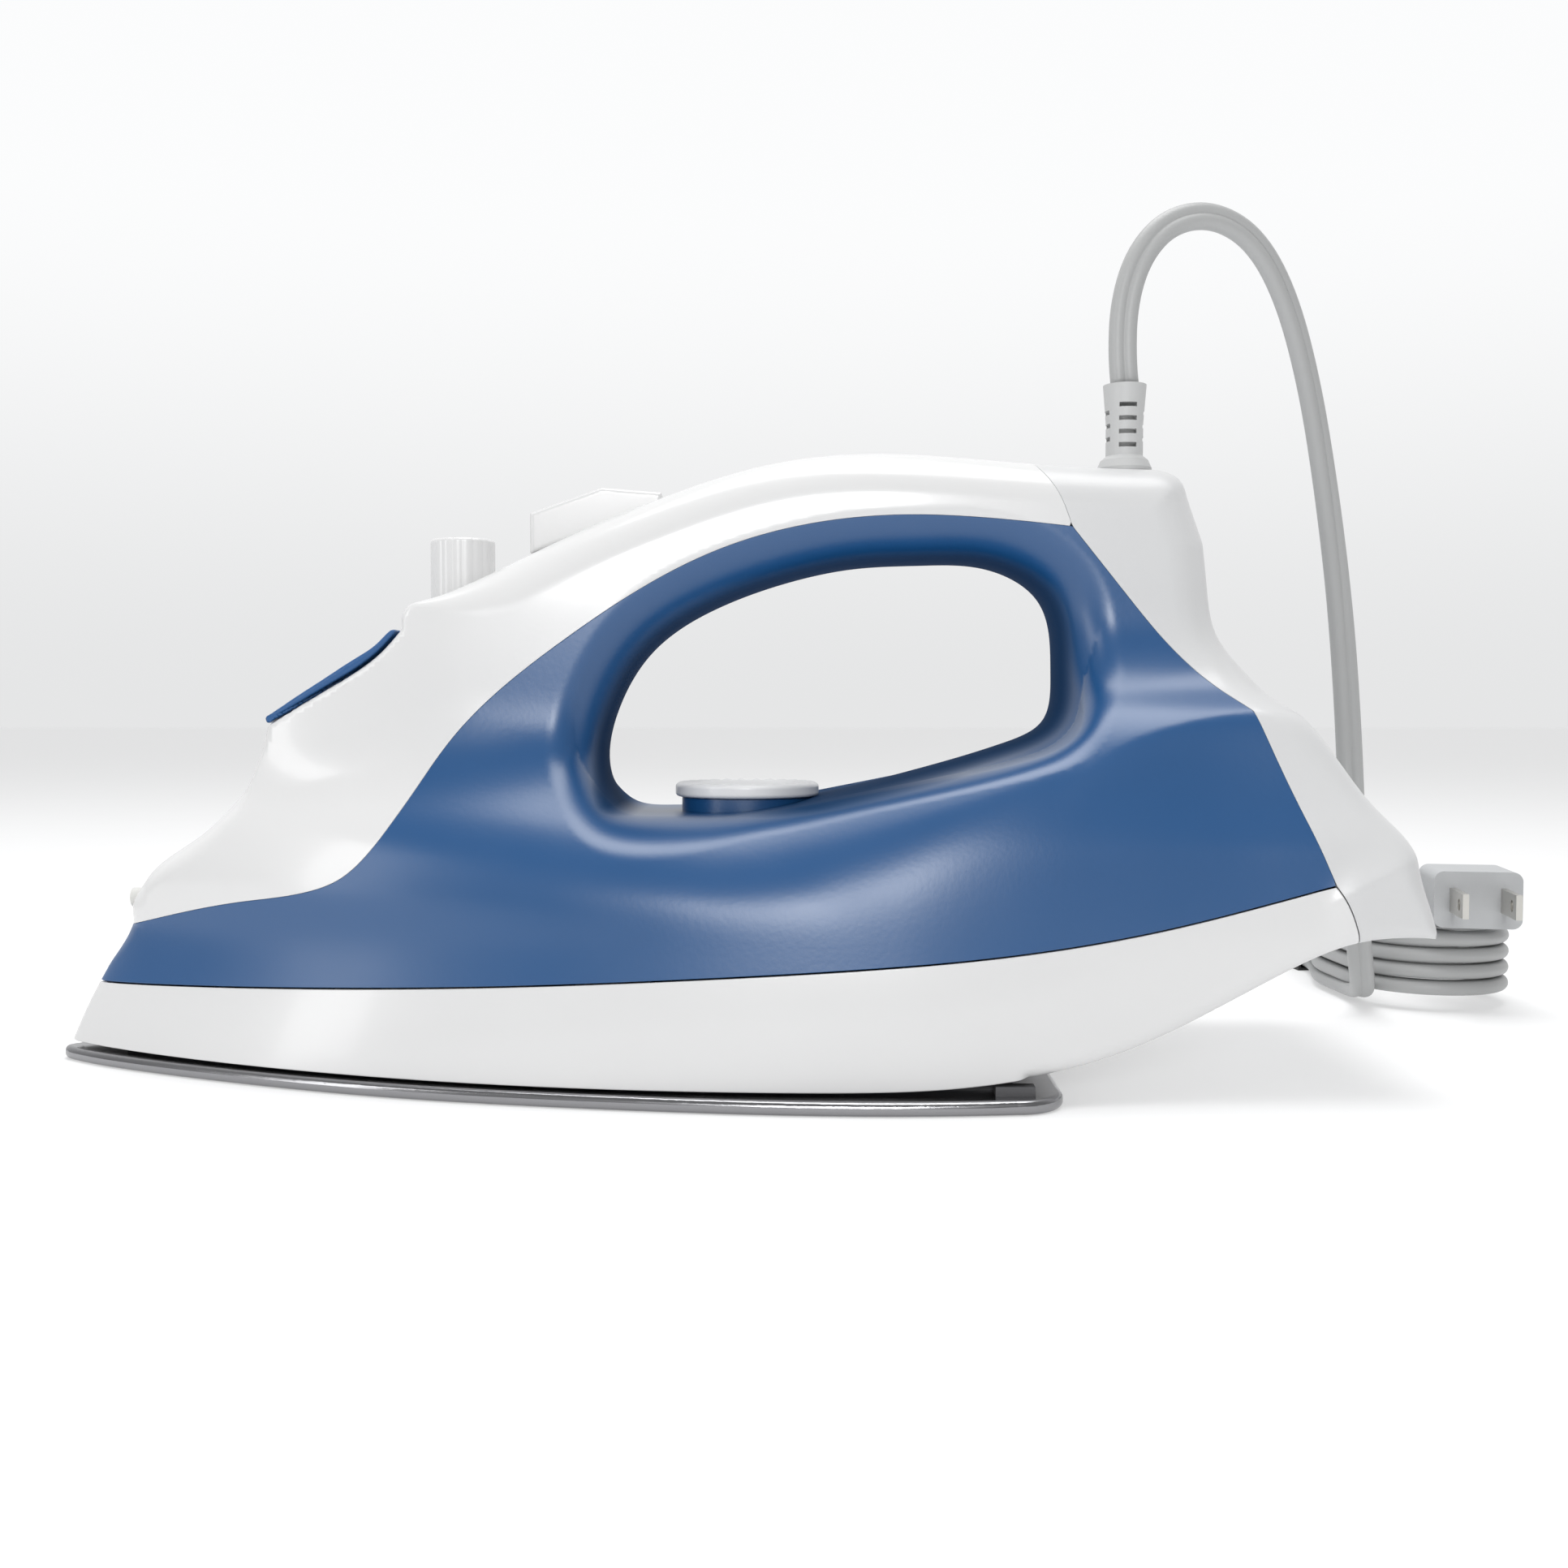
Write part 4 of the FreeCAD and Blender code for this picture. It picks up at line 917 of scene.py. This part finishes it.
def make_cord():
    """The flat twin cord: its section is carried along the line and laid flat on the floor."""
    path = sampled(nurbs(cord_points()))
    mm = path / MM
    tangent = unit(np.gradient(mm, axis=0))
    thin = np.empty(mm.shape)
    thin[0] = (0, 1, 0)
    for i in range(1, len(mm)):
        carried = thin[i - 1] - tangent[i] * (thin[i - 1] @ tangent[i])
        thin[i] = carried / np.linalg.norm(carried)
    arc = np.concatenate([[0], np.cumsum(np.linalg.norm(np.diff(mm, axis=0), axis=1))])
    floor_at = int(np.argmax((mm[:, 2] < LAID_BELOW) & (arc > HANGS_FOR)))
    up = np.array([0, 0, 1.0])
    wanted = unit(up - tangent * (tangent @ up)[:, None])
    wide = np.cross(tangent, thin)
    off = math.atan2(wide[floor_at] @ wanted[floor_at], thin[floor_at] @ wanted[floor_at])
    share = smooth(arc[floor_at] - TURNS_OVER, arc[floor_at], arc)
    turned = thin * np.cos(off * share)[:, None] + wide * np.sin(off * share)[:, None]
    thin = np.where((arc >= arc[floor_at])[:, None], wanted, turned)
    wide = np.cross(tangent, thin)
    section = section_points()
    count = len(section)
    rings = mm[:, None] + wide[:, None] * section[None, :, :1]
    rings = rings + thin[:, None] * section[None, :, 1:]
    points = rings.reshape(-1, 3)
    faces = []
    for i in range(len(mm) - 1):
        for j in range(count):
            k = (j + 1) % count
            faces.append((i * count + j, i * count + k, (i + 1) * count + k, (i + 1) * count + j))
    last = (len(mm) - 1) * count
    faces.append(tuple(reversed(range(count))))
    faces.append(tuple(last + j for j in range(count)))
    cord = add_mesh("mains_cord", points, faces)
    cord.data.materials.append(CORD_GREY)
    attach(cord, "root")
    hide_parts("cord_tube", "cord_hank", "cord_tail")


# ---- floor ----

FLOOR_REACH = 9000.0
FLOOR_TOP = -0.05


def make_floor():
    material = plastic("floor", (0.55, 0.552, 0.555), 0.8, mottle=0.004, specular=0.1)
    shader = material.node_tree.nodes["Principled BSDF"]
    shader.inputs["Emission Color"].default_value = (1, 1, 1, 1)
    shader.inputs["Emission Strength"].default_value = 0.41
    corners = [(-1, -1), (1, -1), (1, 1), (-1, 1)]
    floor = add_mesh("floor", [(x * FLOOR_REACH, y * FLOOR_REACH, FLOOR_TOP) for x, y in corners],
                     [(0, 1, 2, 3)], smooth_faces=False)
    floor.data.materials.append(material)


# ---- pieces on the body ----

LID_TOP = [(-98.4, 79.0), (-92.3, 82.9), (-84.8, 87.4), (-77.3, 92.0), (-72, 95.6),
           (-67.6, 98.9), (-66.3, 98.9)]
LID_CLEAR = (-0.4, 0.7)
LID_INSET = 0.5
LID_BLOCK_HALF = 11.9
BARREL_RADIUS = 2.4
BARREL_HALF = 8.0
EAR_RADIUS = 2.75
EAR_Y = 9.8
EAR_HALF = 1.9
lid_top = spline(LID_TOP, 80)
lid_seat = spline(LID_SEAT, 60)
lid_thin = depth_in(np.vstack([lid_top[:-6], (lid_seat + LID_CLEAR)[::-1]]))
lid_full = depth_in(np.vstack([lid_top[:-3], [(-67, 97), (-67.6, 94.2), (-98, 77.6)]]))


def lid_field(x, y, z):
    """A curved plate with a thicker middle and a barrel that turns between the cover's ears."""
    side = (np.sqrt(y * y + NOSE_TIP ** 2) - width(x, z) + LID_INSET) / steep_chart(x, z)
    plate = rounded_and(side, -lid_thin(x, z), 0.7)
    middle = np.maximum(-lid_full(x, z), np.abs(y) - LID_BLOCK_HALF)
    pin = np.hypot(x - LID_PIN[0], z - LID_PIN[1])
    barrel = np.maximum(pin - BARREL_RADIUS, np.abs(y) - BARREL_HALF)
    ears = np.maximum(pin - EAR_RADIUS, np.abs(np.abs(y) - EAR_Y) - EAR_HALF)
    middle = rounded_and(np.minimum(middle, barrel), -ears, 0.1)
    return np.minimum(plate, middle)


FIN = [(-40.4, 116.3), (-40.4, 125.4), (-24.1, 131.2), (-10.4, 130.1), (-10.4, 126.0)]
FIN_HALF = 3.2
FIN_EDGE = 0.9
fin_depth = depth_in(np.array(FIN))


def fin_field(x, y, z):
    return rounded_and(np.abs(y) - FIN_HALF, -fin_depth(x, z), FIN_EDGE)


KNOB_RADIUS = 7.3
KNOB_MIDDLE = 109.05
KNOB_HALF = 10.55
KNOB_BORE = 5.3
KNOB_BORE_TOP = 112.0
FLUTE_DEPTH = 0.16
FLUTE_WAVES = 9


def knob_field(x, y, z):
    """A round knob with shallow flutes, a softly broken top edge and a bore over the spring."""
    radius = np.hypot(x - KNOB_X, y)
    angle = np.arctan2(y, x - KNOB_X)
    flutes = FLUTE_DEPTH * np.abs(np.sin(angle * FLUTE_WAVES))
    flutes = flutes * smooth(101, 104, z) * smooth(5, 7, radius)
    side = radius + FLUTE_DEPTH - flutes - KNOB_RADIUS
    form = rounded_and(side, np.abs(z - KNOB_MIDDLE) - KNOB_HALF, 0.8)
    return np.maximum(form, -np.maximum(radius - KNOB_BORE, z - KNOB_BORE_TOP))


DIAL_X = 9.0
DIAL_RADIUS = 16.5
DIAL_MIDDLE = 62.45
DIAL_HALF = 1.55
RIB_HEIGHT = 0.28
RIB_WAVES = 26


def dial_field(x, y, z):
    """A flat round dial with low ribs in a ring near its edge."""
    radius = np.hypot(x - DIAL_X, y)
    ribs = RIB_HEIGHT * np.cos(np.arctan2(y, x - DIAL_X) * RIB_WAVES)
    ribs = ribs * smooth(10.5, 12.5, radius) * (1 - smooth(15.2, 16.0, radius))
    raised = np.where(z > DIAL_MIDDLE, np.maximum(ribs, 0), 0)
    return rounded_and(radius - DIAL_RADIUS, np.abs(z - DIAL_MIDDLE) - DIAL_HALF - raised, 0.9)


def make_fittings():
    """The moving pieces: field, box to look in, step, material, body, node and slot."""
    pieces = {
        "tank_lid": (lid_field, (-100, -22, 74), (-62, 22, 102), 0.5,
                     LID_BLUE, "lid", "water_lid", "lid_blue"),
        "steam_fin": (fin_field, (-43, -5, 112), (-8, 5, 134), 0.4,
                      WHITE, "slider", "steam_slider", "white_gloss"),
        "spray_knob": (knob_field, (-65, -9, 97), (-47, 9, 121), 0.4,
                       WHITE, "knob", "burst_knob", "white_gloss"),
        "heat_dial": (dial_field, (-9, -18, 60), (27, 18, 65.5), 0.4,
                      DIAL_WHITE_PAINTED_LIGHT, "dial_body", "dial", "dial_white"),
    }
    for name, (field, low, high, step, material, body, node, slot) in pieces.items():
        piece = solid(name, field, low, high, step, material)
        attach(piece, body)
        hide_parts(node)


def dress_nodes():
    for name, material in NODE_LOOKS.items():
        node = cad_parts[name]
        if not node.data.materials:
            node.data.materials.append(material)
        for slot in node.material_slots:
            slot.material = material


make_camera()
make_cord()
make_studio()
make_floor()
dress_nodes()
make_shells()
make_fittings()
